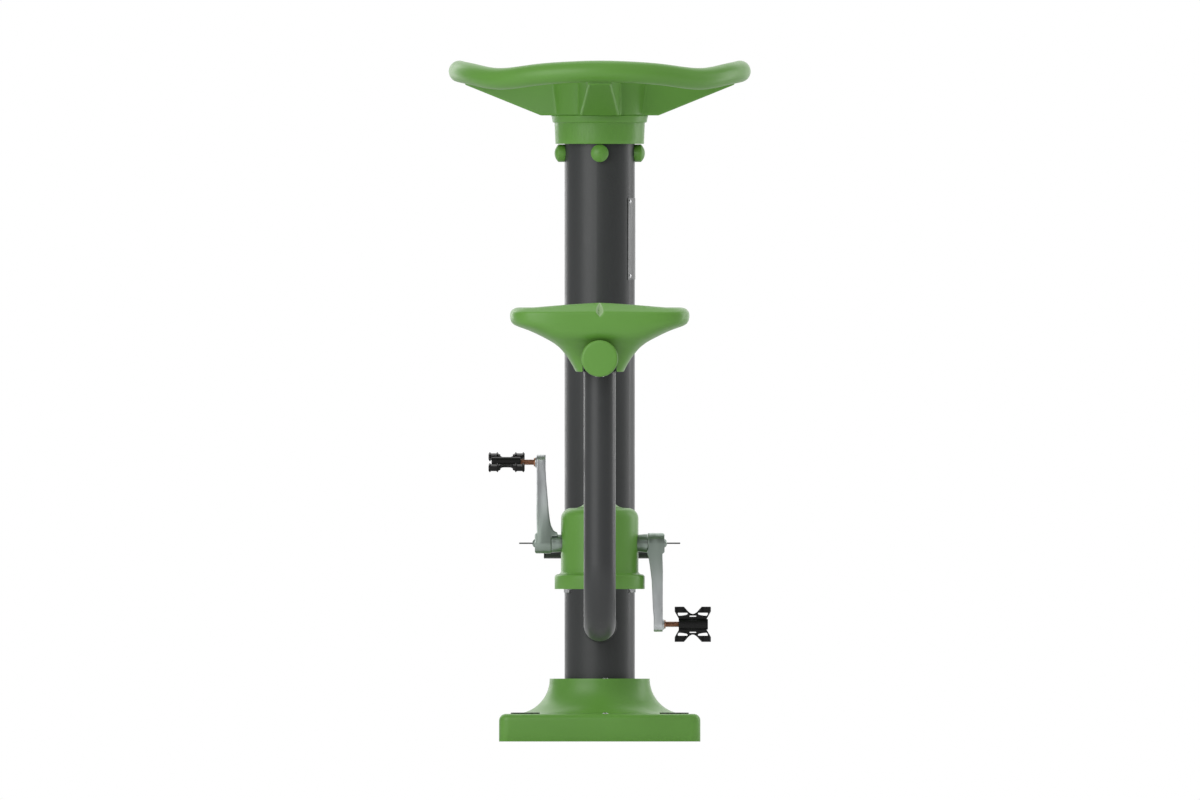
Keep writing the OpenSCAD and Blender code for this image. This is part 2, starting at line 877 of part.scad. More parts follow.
module handle_wheel() {
    bore_r = spigot_r + slip;
    color(green)
        difference() {
            union() {
                rotate_extrude($fn = 96)
                    polygon([
                        [0, hub_z],
                        [hub_r, hub_z],
                        [hub_top_r, hub_top_z - hub_taper_h],
                        [hub_top_r, hub_top_z - hub_edge_r],
                        [hub_top_r - hub_edge_r, hub_top_z],
                        [0, hub_top_z]]);
                four_ways()
                    wedge_arm();
                wavy_rim();
            }
            translate([0, 0, hub_z - cut])
                cylinder(r = bore_r, h = spigot_up + cut, $fn = 96);
            translate([0, 0, hub_floor_z])
                cylinder(r = hub_cap_r + slip, h = hub_h, $fn = 96);
            four_ways()
                translate([wheel_screw_r, 0, hub_z])
                    cylinder(d = wheel_screw_d + 2 * slip, h = hub_h);
        }
}

module wheel_screws() {
    color(zinc)
        four_ways()
            translate([wheel_screw_r, 0, hub_floor_z]) {
                translate([0, 0, -wheel_screw_l])
                    cylinder(d = wheel_screw_d, h = wheel_screw_l + wheel_screw_head_h / 2);
                cylinder(r = wheel_screw_head_r, h = wheel_screw_head_h, $fn = 6);
            }
}

module hub_cap() {
    dome_r = (hub_cap_r * hub_cap_r + hub_cap_rise * hub_cap_rise) / (2 * hub_cap_rise);
    rim_h = hub_top_z - hub_floor_z;
    color(green)
        translate([0, 0, hub_floor_z])
            rotate_extrude($fn = 96)
                difference() {
                    intersection() {
                        square([hub_cap_r, rim_h + hub_cap_rise]);
                        translate([0, rim_h + hub_cap_rise - dome_r])
                            circle(r = dome_r, $fn = 256);
                    }
                    translate([-cut, -cut])
                        square([hub_cap_bore_r + cut, wheel_screw_head_h + 2 * head_room + cut]);
                }
}

// Seat and its tubes

module j_shape(r, extra) {
    bend_y = -seat_back + bend_r;
    bend_z = lower_run_z + bend_r;
    translate([0, -seat_back, bend_z])
        cylinder(r = r, h = rail_z - bend_z);
    translate([0, bend_y, bend_z])
        rotate([90, 0, 90])
            rotate([0, 0, 180])
                rotate_extrude(angle = 90)
                    translate([bend_r, 0])
                        circle(r = r);
    translate([0, 0, lower_run_z])
        y_rod(r, bend_y, -post_r + extra);
}

module seat_tube() {
    color(dark_steel)
        difference() {
            j_shape(tube_r, tube_r / 2);
            j_shape(tube_in_r, tube_r);
            translate([0, 0, rail_z])
                y_rod(tube_r + weld_gap, rail_back_y, rail_front_y);
            translate([0, 0, lower_run_z - 2 * tube_r])
                cylinder(r = post_r + weld_gap, h = 4 * tube_r, $fn = 96);
        }
}

module seat_bolt_places() {
    for (side = [-1, 1])
        translate([0, -seat_back + side * seat_bolt_spread, rail_z])
            children();
}

module seat_rail() {
    color(dark_steel)
        difference() {
            translate([0, 0, rail_z])
                difference() {
                    y_rod(tube_r, rail_back_y, rail_front_y);
                    y_rod(rail_in_r, rail_back_y - cut, rail_front_y + cut);
                }
            seat_bolt_places()
                translate([0, 0, -2 * tube_r])
                    cylinder(d = seat_bolt_d + 2 * slip, h = 4 * tube_r);
        }
}

module rail_cap() {
    cap_r = rail_cap_d / 2;
    rotate_extrude() {
        square([cap_r, rail_cap_l - rail_cap_edge]);
        square([cap_r - rail_cap_edge, rail_cap_l]);
        intersection() {
            translate([cap_r - rail_cap_edge, rail_cap_l - rail_cap_edge])
                circle(r = rail_cap_edge);
            square([cap_r, rail_cap_l]);
        }
        translate([0, -rail_cap_stem])
            square([rail_in_r - slip, rail_cap_stem + rail_cap_l / 2]);
    }
}

module rail_caps() {
    color(green) {
        translate([0, rail_back_y, rail_z])
            rotate([90, 0, 0])
                rail_cap();
        translate([0, rail_front_y, rail_z])
            rotate([-90, 0, 0])
                rail_cap();
    }
}

function grow(from, to, share) = from + (to - from) * share;

function power(v, n) = sign(v) * pow(abs(v), n);

function seat_point(row, t, inset, lift) =
    let (a = grow(foot_w / 2, seat_w / 2, row[1]) - inset)
    let (rear = grow(foot_l / 2, seat_l / 2, row[2]) - inset)
    let (front = grow(foot_l / 2, seat_l / 2, row[3]) - inset)
    let (n = grow(foot_power, rim_power, row[1]))
    let (along = power(sin(t), n))
    let (across = power(cos(t), n))
    let (ahead = max(0, along))
    let (behind = max(0, -along))
    let (x = across * (a - ahead * ahead * nose_narrowing / 2 * row[1]))
    let (y = along * (along < 0 ? rear : front))
    let (x_part = min(1, abs(x) / (crown_half_share * seat_w / 2)))
    let (rise = seat_crown * behind * (1 - x_part * x_part) - seat_waterfall * ahead * ahead)
    [x, seat_mid_y + y, seat_foot_z + row[0] * seat_h + lift + row[4] * rise];

module ring_loft(rings) {
    n = len(rings[0]);
    last = len(rings) - 1;
    points = [for (ring = rings) each ring];
    sides = [for (i = [0 : last - 1], j = [0 : n - 1])
        let (j2 = (j + 1) % n)
        let (a = i * n + j)
        let (b = i * n + j2)
        let (c = (i + 1) * n + j2)
        let (d = (i + 1) * n + j)
        each [[a, c, b], [a, d, c]]];
    low = [for (j = [0 : n - 1]) j];
    high = [for (j = [0 : n - 1]) last * n + n - 1 - j];
    polyhedron(points = points, faces = concat(sides, [low, high]));
}

module seat_body() {
    rings = [for (row = seat_shares)
        [for (j = [0 : seat_points - 1]) seat_point(row, 360 * j / seat_points, 0, 0)]];
    ring_loft(rings);
}

module seat_cavity() {
    last = len(cavity_rows) - 1;
    rings = [for (k = [0 : last])
        let (inset = seat_wall * cavity_inset_shares[k])
        let (lift = k == last ? -seat_wall / 2 : 0)
        [for (j = [0 : seat_points - 1])
            seat_point(seat_shares[cavity_rows[k]], 360 * j / seat_points, inset, lift)]];
    ring_loft(rings);
}

module rail_channel() {
    side = tube_r + channel_side_gap;
    translate([0, 0, rail_z])
        y_rod(tube_r + weld_gap, rail_back_y - seat_l, rail_front_y + seat_l);
    translate([-side, seat_mid_y - seat_l, seat_foot_z - cut])
        cube([2 * side, 2 * seat_l, rail_z - seat_foot_z + cut]);
}

module seat_shell() {
    rear_y = seat_mid_y - seat_l / 2;
    groove_low_z = seat_foot_z + groove_low_share * seat_h;
    groove_rise = seat_top_z + cut - groove_low_z;
    groove_slope = atan(groove_rise / groove_l);
    color(green)
        difference() {
            seat_body();
            seat_cavity();
            rail_channel();
            translate([0, rear_y + groove_l, groove_low_z + groove_rise])
                rotate([90 + groove_slope, 0, 0])
                    linear_extrude(groove_l / cos(groove_slope) + groove_w)
                        polygon([
                            [-2 * groove_w, 4 * groove_depth],
                            [0, 0],
                            [2 * groove_w, 4 * groove_depth]]);
            seat_bolt_places()
                cylinder(d = seat_bolt_d + 2 * thread_gap, h = tube_r + seat_bolt_bite + cut);
        }
}

module seat_bolts() {
    color(zinc)
        seat_bolt_places() {
            translate([0, 0, -tube_r - seat_bolt_head_h / 2])
                cylinder(d = seat_bolt_d, h = 2 * tube_r + seat_bolt_head_h / 2 + seat_bolt_bite);
            translate([0, 0, -tube_r - slip - seat_bolt_head_h])
                cylinder(r = seat_bolt_head_r, h = seat_bolt_head_h, $fn = 6);
        }
}

// Drive

module drive_pedestal() {
    color(dark_steel)
        difference() {
            translate([0, drive_y, lower_run_z])
                cylinder(d = pedestal_d, h = flange_z - lower_run_z);
            translate([0, 0, lower_run_z])
                y_rod(tube_r + weld_gap, drive_y - pedestal_d, drive_y + pedestal_d);
            translate([0, drive_y, lower_run_z])
                cylinder(d = pedestal_d - 2 * cross_wall, h = flange_z);
        }
}

module drive_bolt_places() {
    for (k = [0 : drive_bolt_count - 1])
        rotate([0, 0, 360 * (k + 0.5) / drive_bolt_count])
            translate([drive_pcd / 2, 0, 0])
                children();
}

module drive_plate() {
    color(dark_steel)
        translate([0, drive_y, flange_z])
            difference() {
                cylinder(r = drive_plate_r, h = drive_plate_t);
                drive_bolt_places()
                    translate([0, 0, -cut])
                        cylinder(d = drive_bolt_d + 2 * slip, h = drive_plate_t + 2 * cut);
            }
}

module drive_bolts() {
    color(zinc)
        translate([0, drive_y, flange_z])
            drive_bolt_places() {
                translate([0, 0, -drive_bolt_washer_t])
                    cylinder(d = drive_bolt_d, h = drive_bolt_l + drive_bolt_washer_t);
                translate([0, 0, -drive_bolt_washer_t])
                    cylinder(r = drive_bolt_washer_r, h = drive_bolt_washer_t);
                translate([0, 0, -drive_bolt_washer_t - drive_bolt_head_h])
                    cylinder(r = drive_bolt_head_r, h = drive_bolt_head_h, $fn = 6);
            }
}

module bell_outside() {
    neck_foot_r = neck_r + neck_fillet_r;
    rotate_extrude($fn = 96) {
        translate([0, flange_z])
            square([flange_r, flange_h - flange_edge_r]);
        translate([0, flange_z])
            square([flange_r - flange_edge_r, flange_h]);
        intersection() {
            translate([flange_r - flange_edge_r, flange_top_z - flange_edge_r])
                circle(r = flange_edge_r);
            translate([0, flange_z])
                square([flange_r, flange_h]);
        }
        translate([0, flange_z])
            square([bell_r, shoulder_z - flange_z - shoulder_r]);
        difference() {
            translate([0, flange_z])
                square([bell_r + flange_fillet_r, flange_h + flange_fillet_r]);
            translate([bell_r + flange_fillet_r, flange_top_z + flange_fillet_r])
                circle(r = flange_fillet_r);
        }
        translate([0, shoulder_z - 2 * shoulder_r])
            square([bell_r - shoulder_r, 2 * shoulder_r]);
        intersection() {
            translate([bell_r - shoulder_r, shoulder_z - shoulder_r])
                circle(r = shoulder_r);
            translate([0, flange_top_z])
                square([bell_r, shoulder_z - flange_top_z]);
        }
        translate([0, shoulder_z - shoulder_r])
            square([neck_r, neck_top_z - shoulder_z + shoulder_r]);
        difference() {
            translate([0, shoulder_z - shoulder_r])
                square([neck_foot_r, shoulder_r + neck_fillet_r]);
            translate([neck_foot_r, shoulder_z + neck_fillet_r])
                circle(r = neck_fillet_r);
        }
    }
}

module bell_inside() {
    in_shoulder_z = shoulder_z - bell_wall;
    in_corner = shoulder_r - bell_wall;
    rotate_extrude($fn = 96) {
        translate([0, flange_z - cut])
            square([flange_r - flange_skirt, drive_plate_t + cut + slip]);
        translate([0, flange_z])
            square([flange_in_r, flange_h]);
        translate([0, flange_top_z])
            square([bell_in_r, in_shoulder_z - flange_top_z - in_corner]);
        translate([0, in_shoulder_z - 2 * in_corner])
            square([bell_in_r - in_corner, 2 * in_corner]);
        intersection() {
            translate([bell_in_r - in_corner, in_shoulder_z - in_corner])
                circle(r = in_corner);
            translate([0, flange_top_z])
                square([bell_r, in_shoulder_z - flange_top_z]);
        }
        translate([0, shoulder_z - shoulder_r])
            square([neck_r - bell_wall, neck_top_z + cut - shoulder_z + shoulder_r]);
    }
}

module drive_housing() {
    color(green)
        translate([0, drive_y, 0])
            difference() {
                bell_outside();
                bell_inside();
                translate([0, 0, crank_z])
                    x_rod(side_hole_r + slip, -flange_r, flange_r);
                translate([0, 0, flange_z])
                    drive_bolt_places()
                        cylinder(d = drive_bolt_d + 2 * thread_gap, h = drive_bolt_l + head_room);
            }
}

module housing_plug() {
    color(black)
        translate([0, drive_y, neck_top_z]) {
            cylinder(r = neck_r, h = plug_cap_t);
            translate([0, 0, -plug_stem])
                cylinder(r = neck_r - bell_wall - slip, h = plug_stem + plug_cap_t / 2);
        }
}

module at_axle() {
    translate([0, drive_y, crank_z])
        children();
}

module both_sides() {
    for (side = [0, 1])
        mirror([side, 0, 0])
            children();
}

module housing_seals() {
    out_x = bell_r - seal_set_in;
    edge_x = sqrt(bell_in_r * bell_in_r - side_hole_r * side_hole_r) - seal_set_in;
    color(black)
        at_axle()
            both_sides()
                difference() {
                    x_rod(side_hole_r, edge_x, out_x);
                    x_rod(sleeve_r + seal_in_gap, edge_x - cut, out_x + cut);
                }
}

module bearing_blocks() {
    color(dark_steel)
        at_axle()
            both_sides()
                difference() {
                    union() {
                        x_rod(block_r, block_x0, block_x1);
                        translate([block_x0, -block_foot_w / 2, drive_plate_t - flange_below])
                            cube([block_x1 - block_x0, block_foot_w,
                                flange_below - drive_plate_t]);
                    }
                    x_rod(bearing_r + run_gap, bearing_x0, block_x1 + cut);
                    x_rod(bearing_lip_r, block_x0 - cut, bearing_x0 + cut);
                }
}

module bearing() {
    mid_r = (axle_r + bearing_r) / 2;
    color(zinc)
        at_axle()
            difference() {
                x_rod(bearing_r, bearing_x0, bearing_x0 + bearing_t);
                x_rod(axle_r + run_gap, bearing_x0 - cut, bearing_x0 + bearing_t + cut);
                difference() {
                    x_rod(mid_r + race_w / 2, bearing_x0 + bearing_t - race_step,
                        bearing_x0 + bearing_t + cut);
                    x_rod(mid_r - race_w / 2, bearing_x0, bearing_x0 + bearing_t + 2 * cut);
                }
            }
}

module bearing_right() {
    bearing();
}

module bearing_left() {
    mirror([1, 0, 0])
        bearing();
}

module lock_rings() {
    ring_x = bearing_x0 + bearing_t;
    color(zinc)
        at_axle()
            both_sides()
                difference() {
                    x_rod(bearing_r - thread_gap, ring_x, ring_x + ring_t);
                    x_rod(ring_bore_r, ring_x - cut, ring_x + ring_t + cut);
                }
}

module crank_axle() {
    color(zinc)
        at_axle()
            difference() {
                union() {
                    x_rod(axle_r, -sleeve_out, sleeve_out);
                    translate([-axle_end, -axle_square / 2, -axle_square / 2])
                        cube([2 * axle_end, axle_square, axle_square]);
                }
                both_sides()
                    x_rod(crank_bolt_d / 2 + thread_gap, axle_end - crank_bolt_l, axle_end + cut);
            }
}

module brake_disc() {
    color(zinc)
        at_axle()
            difference() {
                union() {
                    x_rod(disc_r, -disc_t / 2, disc_t / 2);
                    x_rod(disc_hub_r, -disc_hub_l / 2, disc_hub_l / 2);
                }
                x_rod(axle_r + run_gap, -disc_hub_l, disc_hub_l);
            }
}

module brake_holder() {
    slot = disc_t / 2 + pad_gap + pad_t + slip;
    floor_z = drive_plate_t - flange_below;
    slot_z = -disc_r - disc_room;
    top_z = -disc_r + pad_overlap + holder_rise;
    color(dark_steel)
        at_axle()
            difference() {
                translate([-slot - holder_wall, -holder_depth / 2, floor_z])
                    cube([2 * (slot + holder_wall), holder_depth, top_z - floor_z]);
                translate([-slot, -holder_depth, slot_z])
                    cube([2 * slot, 2 * holder_depth, disc_r]);
                translate([0, 0, pad_overlap / 2 - disc_r])
                    x_rod(brake_screw_d / 2 + thread_gap, -slot - 2 * holder_wall,
                        slot + 2 * holder_wall);
            }
}

module brake_pads() {
    pad_x = disc_t / 2 + pad_gap;
    color(black)
        at_axle()
            both_sides()
                translate([pad_x, -pad_w / 2, pad_overlap - disc_r - pad_h])
                    cube([pad_t, pad_w, pad_h]);
}

module brake_screws() {
    tip_x = disc_t / 2 + pad_gap + pad_t;
    head_x = tip_x + slip + holder_wall + head_room;
    color(zinc)
        at_axle()
            translate([0, 0, pad_overlap / 2 - disc_r])
                both_sides() {
                    x_rod(brake_screw_d / 2, tip_x, head_x + brake_screw_head_h / 2);
                    x_hex(brake_screw_head_r, head_x, head_x + brake_screw_head_h);
                }
}

// Cranks: each is drawn with its arm up on the +X side

module on_left() {
    at_axle()
        mirror([1, 0, 0])
            children();
}

module on_right() {
    at_axle()
        rotate([180, 0, 0])
            children();
}

module sleeve() {
    color(cast_alloy)
        difference() {
            union() {
                x_rod(sleeve_r, sleeve_in, bell_r + cut);
                translate([bell_r + cut, 0, 0])
                    rotate([0, 90, 0])
                        cylinder(r1 = sleeve_r, r2 = sleeve_flare_r, h = sleeve_out - bell_r - cut);
            }
            x_rod(axle_r + run_gap, sleeve_in - cut, sleeve_out + cut);
        }
}

module sleeve_left() {
    on_left()
        sleeve();
}

module sleeve_right() {
    on_right()
        sleeve();
}

function web_edge(shares) = [for (s = shares)
    [grow(web_start, crank_end_in, s[0]), s[1] * crank_l]];

function boss_corner(a, side) = [crank_out - boss_edge * (1 - sin(a)),
    side * (boss_r - boss_edge * (1 - cos(a)))];

// Arm as seen from the rear, from the inner web edge to the outer face
module crank_side_outline(shares) {
    top_z = crank_l + crank_end_r;
    polygon(concat(
        web_edge(shares),
        [[crank_end_in, top_z], [crank_end_out, top_z]],
        [[crank_end_out, crank_l * flank_shares[0]]],
        [[crank_end_out + crank_bulge, crank_l * flank_shares[1]]],
        [for (a = [0:15:90]) boss_corner(a, 1)],
        [for (a = [90:-15:0]) boss_corner(a, -1)],
        [[crank_in, -boss_r], [crank_in, web_low_z]],
        [[web_edge(shares)[0][0], web_low_z]]));
}

// Arm as seen from the side: boss and pedal end joined by their tangents
module crank_face_outline() {
    lean = asin((boss_r - crank_end_r) / crank_l);
    circle(r = boss_r);
    translate([0, crank_l])
        circle(r = crank_end_r);
    polygon([
        [-boss_r * cos(lean), boss_r * sin(lean)],
        [-crank_end_r * cos(lean), crank_l + crank_end_r * sin(lean)],
        [crank_end_r * cos(lean), crank_l + crank_end_r * sin(lean)],
        [boss_r * cos(lean), boss_r * sin(lean)]]);
}

module crank(shares) {
    hole = axle_square + 2 * slip;
    color(cast_alloy)
        difference() {
            union() {
                intersection() {
                    translate([0, crank_l, 0])
                        rotate([90, 0, 0])
                            linear_extrude(2 * crank_l)
                                crank_side_outline(shares);
                    rotate([90, 0, 90])
                        linear_extrude(crank_out)
                            crank_face_outline();
                }
                translate([0, 0, crank_l])
                    x_rod(end_collar_r, crank_end_in, crank_end_out + end_collar_h);
            }
            translate([0, -hole / 2, -hole / 2])
                cube([axle_end + slip, hole, hole]);
            x_rod(sleeve_r + part_gap, 0, bell_r + cut);
            translate([bell_r + cut, 0, 0])
                rotate([0, 90, 0])
                    cylinder(r1 = sleeve_r + part_gap, r2 = sleeve_flare_r + part_gap,
                        h = crank_in - bell_r - cut);
            x_rod(crank_bolt_d / 2 + slip, axle_end - cut, crank_out + cut);
            translate([0, 0, crank_l])
                x_rod(spindle_r + thread_gap, 0, 2 * crank_out);
        }
}

module crank_left() {
    on_left()
        crank(left_web_shares);
}

module crank_right() {
    on_right()
        crank(right_web_shares);
}

module crank_bolt() {
    color(cast_alloy)
        difference() {
            union() {
                x_rod(crank_bolt_d / 2, axle_end - crank_bolt_l + cut, crank_out + cut / 2);
                x_dome(crank_bolt_head_r, crank_out, crank_out + crank_bolt_head_h,
                    crank_bolt_head_h - bolt_rim);
            }
            x_rod(pin_d / 2 + thread_gap, crank_out + crank_bolt_head_h - pin_seat, pin_out);
        }
}

module crank_bolt_left() {
    on_left()
        crank_bolt();
}

module crank_bolt_right() {
    on_right()
        crank_bolt();
}

module crank_pin() {
    color(dark_steel)
        x_rod(pin_d / 2, crank_out + crank_bolt_head_h - pin_seat, pin_out);
}

module crank_pin_left() {
    on_left()
        crank_pin();
}

module crank_pin_right() {
    on_right()
        crank_pin();
}

module pedal_spindle() {
    collar_x = crank_end_out + end_collar_h;
    color(copper)
        translate([0, 0, crank_l]) {
            x_rod(spindle_r, crank_end_in, spindle_tip);
            x_rod(spindle_collar_r, collar_x, collar_x + spindle_collar_l / 2);
        }
}

module pedal_spindle_left() {
    on_left()
        pedal_spindle();
}

module pedal_spindle_right() {
    on_right()
        pedal_spindle();
}

module spindle_nut() {
    color(zinc)
        translate([0, 0, crank_l])
            difference() {
                x_hex(nut_r, spindle_tip - nut_t - thread_end, spindle_tip - thread_end);
                x_rod(spindle_r + thread_gap / 2, spindle_tip - nut_t - cut, spindle_tip + cut);
            }
}

module spindle_nut_left() {
    on_left()
        spindle_nut();
}

module spindle_nut_right() {
    on_right()
        spindle_nut();
}

// Pedals: each is drawn about its own middle, with its outer end at +X

module pedal_place_left() {
    translate([-pedal_out, drive_y, crank_z + crank_l])
        rotate([left_tilt, 0, 0])
            mirror([1, 0, 0])
                children();
}

module pedal_place_right() {
    translate([pedal_out, drive_y, crank_z - crank_l])
        rotate([right_tilt, 0, 0])
            children();
}

function on_plan(shares) = [for (s = shares) [s[0] * pedal_w / 2, s[1] * pedal_l / 2]];

// A layer of the pedal: the children are one quarter of its plan
module pedal_layer(thickness) {
    translate([0, 0, -thickness / 2])
        linear_extrude(thickness)
            for (mx = [0, 1], my = [0, 1])
                mirror([mx, 0])
                    mirror([0, my])
                        children();
}

module pedal_web() {
    corners = on_plan([[0, slit_shares[1]], [slit_shares[0], slit_shares[2]]]);
    difference() {
        polygon(on_plan(outline_shares));
        polygon(on_plan(window_shares));
        translate(corners[0])
            square(corners[1] - corners[0]);
    }
}

module pedal_tread() {
    intersection() {
        polygon(on_plan(outline_shares));
        translate(on_plan([tread_shares])[0])
            square([pedal_w, pedal_l]);
    }
}

module pedal_ridges() {
    intersection() {
        pedal_tread();
        for (s = ridge_shares)
            translate([s * pedal_w / 2 - ridge_w / 2, 0])
                square([ridge_w, pedal_l]);
    }
}

module pedal_body() {
    color(black)
        difference() {
            union() {
                pedal_layer(web_t)
                    pedal_web();
                pedal_layer(tread_t)
                    pedal_tread();
                pedal_layer(tread_t + 2 * ridge_h)
                    pedal_ridges();
                x_rod(barrel_r, -body_w / 2, body_w / 2);
            }
            x_rod(bush_r + slip, -pedal_w / 2, pedal_w / 2);
        }
}

module pedal_body_left() {
    pedal_place_left()
        pedal_body();
}

module pedal_body_right() {
    pedal_place_right()
        pedal_body();
}

module pedal_bushes() {
    end_x = body_w / 2;
    nut_x0 = spindle_tip - nut_t - thread_end - pedal_out;
    color(zinc)
        for (x0 = [-end_x, nut_x0 - bush_l - part_gap])
            difference() {
                x_rod(bush_r, x0, x0 + bush_l);
                x_rod(spindle_r + run_gap, x0 - cut, x0 + bush_l + cut);
            }
}

module pedal_bushes_left() {
    pedal_place_left()
        pedal_bushes();
}

module pedal_bushes_right() {
    pedal_place_right()
        pedal_bushes();
}

module pedal_cap() {
    end_x = body_w / 2;
    color(black) {
        x_rod(barrel_r, end_x, end_x + pedal_cap_t);
        difference() {
            x_rod(bush_r, end_x - pedal_cap_t, end_x + pedal_cap_t / 2);
            x_rod(bush_r - pedal_cap_wall, end_x - 2 * pedal_cap_t, end_x);
        }
    }
}

module pedal_cap_left() {
    pedal_place_left()
        pedal_cap();
}

module pedal_cap_right() {
    pedal_place_right()
        pedal_cap();
}

base_plate();
post_ribs();
cover_standoffs();
base_cover();
anchor_plugs();
cover_screws();
main_post();
cross_tube();
cross_tube_caps();
info_plate();
plate_rivets();
handle_spigot();
handle_bolts();
bolt_caps();
hub_collar();
handle_wheel();
wheel_screws();
hub_cap();
seat_tube();
seat_rail();
rail_caps();
seat_shell();
seat_bolts();
drive_pedestal();
drive_plate();
drive_bolts();
drive_housing();
housing_plug();
housing_seals();
bearing_blocks();
bearing_left();
bearing_right();
lock_rings();
brake_holder();
brake_pads();
brake_screws();
crank_axle();
brake_disc();
sleeve_left();
sleeve_right();
crank_left();
crank_right();
crank_bolt_left();
crank_bolt_right();
crank_pin_left();
crank_pin_right();
pedal_spindle_left();
pedal_spindle_right();
spindle_nut_left();
spindle_nut_right();
pedal_body_left();
pedal_body_right();
pedal_bushes_left();
pedal_bushes_right();
pedal_cap_left();
pedal_cap_right();
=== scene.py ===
# %% [markdown]
# An outdoor fitness bike, dressed for its picture.
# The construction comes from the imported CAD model: tubes, plates, bearings, cranks and screws
# are in their places before this script starts. What follows gives each surface its finish, and
# remakes the pieces whose moulded or cast skin a plain solid can't show.
# Everything is in metres, with the ground at z = 0 and the post on the Z axis.

# %% Frame
import json
import math

import bmesh
import bpy
import numpy as np
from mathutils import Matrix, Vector


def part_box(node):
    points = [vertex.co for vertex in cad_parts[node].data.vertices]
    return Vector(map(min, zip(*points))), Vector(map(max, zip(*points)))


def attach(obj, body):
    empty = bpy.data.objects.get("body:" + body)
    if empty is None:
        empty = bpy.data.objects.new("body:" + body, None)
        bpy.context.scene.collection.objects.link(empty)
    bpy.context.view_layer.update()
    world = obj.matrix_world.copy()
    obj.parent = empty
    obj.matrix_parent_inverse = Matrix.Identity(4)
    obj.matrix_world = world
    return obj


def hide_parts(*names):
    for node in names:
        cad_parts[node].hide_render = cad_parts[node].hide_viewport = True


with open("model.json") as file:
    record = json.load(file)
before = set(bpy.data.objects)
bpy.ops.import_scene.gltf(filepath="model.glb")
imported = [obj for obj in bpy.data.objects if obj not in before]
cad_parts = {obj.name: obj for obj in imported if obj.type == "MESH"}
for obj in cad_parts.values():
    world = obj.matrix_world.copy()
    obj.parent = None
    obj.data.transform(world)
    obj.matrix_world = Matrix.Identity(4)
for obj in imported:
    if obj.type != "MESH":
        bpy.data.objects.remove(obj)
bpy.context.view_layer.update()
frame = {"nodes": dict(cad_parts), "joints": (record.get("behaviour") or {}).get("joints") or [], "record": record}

node_body = {n: b for b, ns in frame["record"]["behaviour"]["bodies"].items() for n in ns}
joint_place = {j["name"]: Vector(j["pos_m"]) for j in frame["joints"]}
scene = bpy.context.scene


def placed(name, data):
    """A new object in the scene, at the origin."""
    piece = bpy.data.objects.new(name, data)
    scene.collection.objects.link(piece)
    return piece


# %% [markdown]
# Camera first. The photograph looks square at the rider's back with no perspective to speak of,
# so the camera is orthographic: every size in the picture is then a real size at one scale.
# A long lens from far away would do nearly the same, and leave a little convergence.

# %% Camera
photo_width = 2.3844
photo_middle = (0.0006, 0.6786)
camera_distance = 4.0

camera_data = bpy.data.cameras.new("rear_view")
camera_data.type = "ORTHO"
camera_data.ortho_scale = photo_width
camera = placed("rear_view", camera_data)
camera.location = (photo_middle[0], -camera_distance, photo_middle[1])
camera.rotation_euler = (math.radians(90), 0, 0)
scene.camera = camera
print("the picture is", photo_width, "m wide")

# %% [markdown]
# Nodes as sums. Both materials and Geometry Nodes are graphs, and long graphs are hard to read
# as a list of links. The class below wraps one output socket, so that a formula such as
# 1 - mask * 0.5 adds its Math nodes by itself. Any other node comes from one method, which sets
# the node's own settings first and then its sockets.

# %% Wires
class Wire:
    """One output of a node. Sums on wires add Math nodes to the tree they belong to."""

    def __init__(self, socket):
        self.socket = socket
        self.tree = socket.id_data

    @staticmethod
    def node(tree, kind, settings=None, inputs=None, output=0):
        """A new node: its settings first, then the values or wires of its sockets."""
        made = tree.nodes.new(kind)
        for name, value in (settings or {}).items():
            setattr(made, name, value)
        for name, value in (inputs or {}).items():
            if isinstance(value, Wire):
                tree.links.new(value.socket, made.inputs[name])
            else:
                made.inputs[name].default_value = value
        return made if output is None else Wire(made.outputs[output])

    def math(self, operation, *others):
        inputs = dict(enumerate((self, *others)))
        return self.node(self.tree, "ShaderNodeMath", {"operation": operation}, inputs)

    def flipped(self, operation, other):
        return self.node(self.tree, "ShaderNodeMath", {"operation": operation}, {0: other, 1: self})

    def __add__(self, other):
        return self.math("ADD", other)

    def __radd__(self, other):
        return self.flipped("ADD", other)

    def __sub__(self, other):
        return self.math("SUBTRACT", other)

    def __rsub__(self, other):
        return self.flipped("SUBTRACT", other)

    def __mul__(self, other):
        return self.math("MULTIPLY", other)

    def __rmul__(self, other):
        return self.flipped("MULTIPLY", other)

    def __truediv__(self, other):
        return self.math("DIVIDE", other)

    def __rtruediv__(self, other):
        return self.flipped("DIVIDE", other)

    def __neg__(self):
        return self.math("MULTIPLY", -1)

    def __abs__(self):
        return self.math("ABSOLUTE")

    def parts(self):
        """The x, y and z of a vector wire."""
        split = self.node(self.tree, "ShaderNodeSeparateXYZ", None, {0: self}, None)
        return [Wire(socket) for socket in split.outputs]

    def vector(self, operation, *others):
        inputs = dict(enumerate((self, *others)))
        return self.node(self.tree, "ShaderNodeVectorMath", {"operation": operation}, inputs)


def joined(x, y, z):
    """A vector wire from three numbers or wires."""
    tree = next(v.tree for v in (x, y, z) if isinstance(v, Wire))
    return Wire.node(tree, "ShaderNodeCombineXYZ", None, {0: x, 1: y, 2: z})


def length(x, y):
    return (x * x + y * y).math("SQRT")


def colours_mixed(amount, first, second):
    settings = {"data_type": "RGBA"}
    inputs = {0: amount, 6: first, 7: second}
    return Wire.node(amount.tree, "ShaderNodeMix", settings, inputs, 2)


print("wires ready")

# %% [markdown]
# Finishes. Each is a Principled shader whose colour, roughness and small relief vary the way the
# real surface does. They share three noises: a broad one for tone, a middle one for wear, and
# a fine one for the grain. All of them read Object coordinates, so a finish stays on its piece
# when the piece turns. The scales are counts per metre.

# %% Finish helpers
def shade(colour, factor):
    return (*[min(1, c * factor) for c in colour], 1)


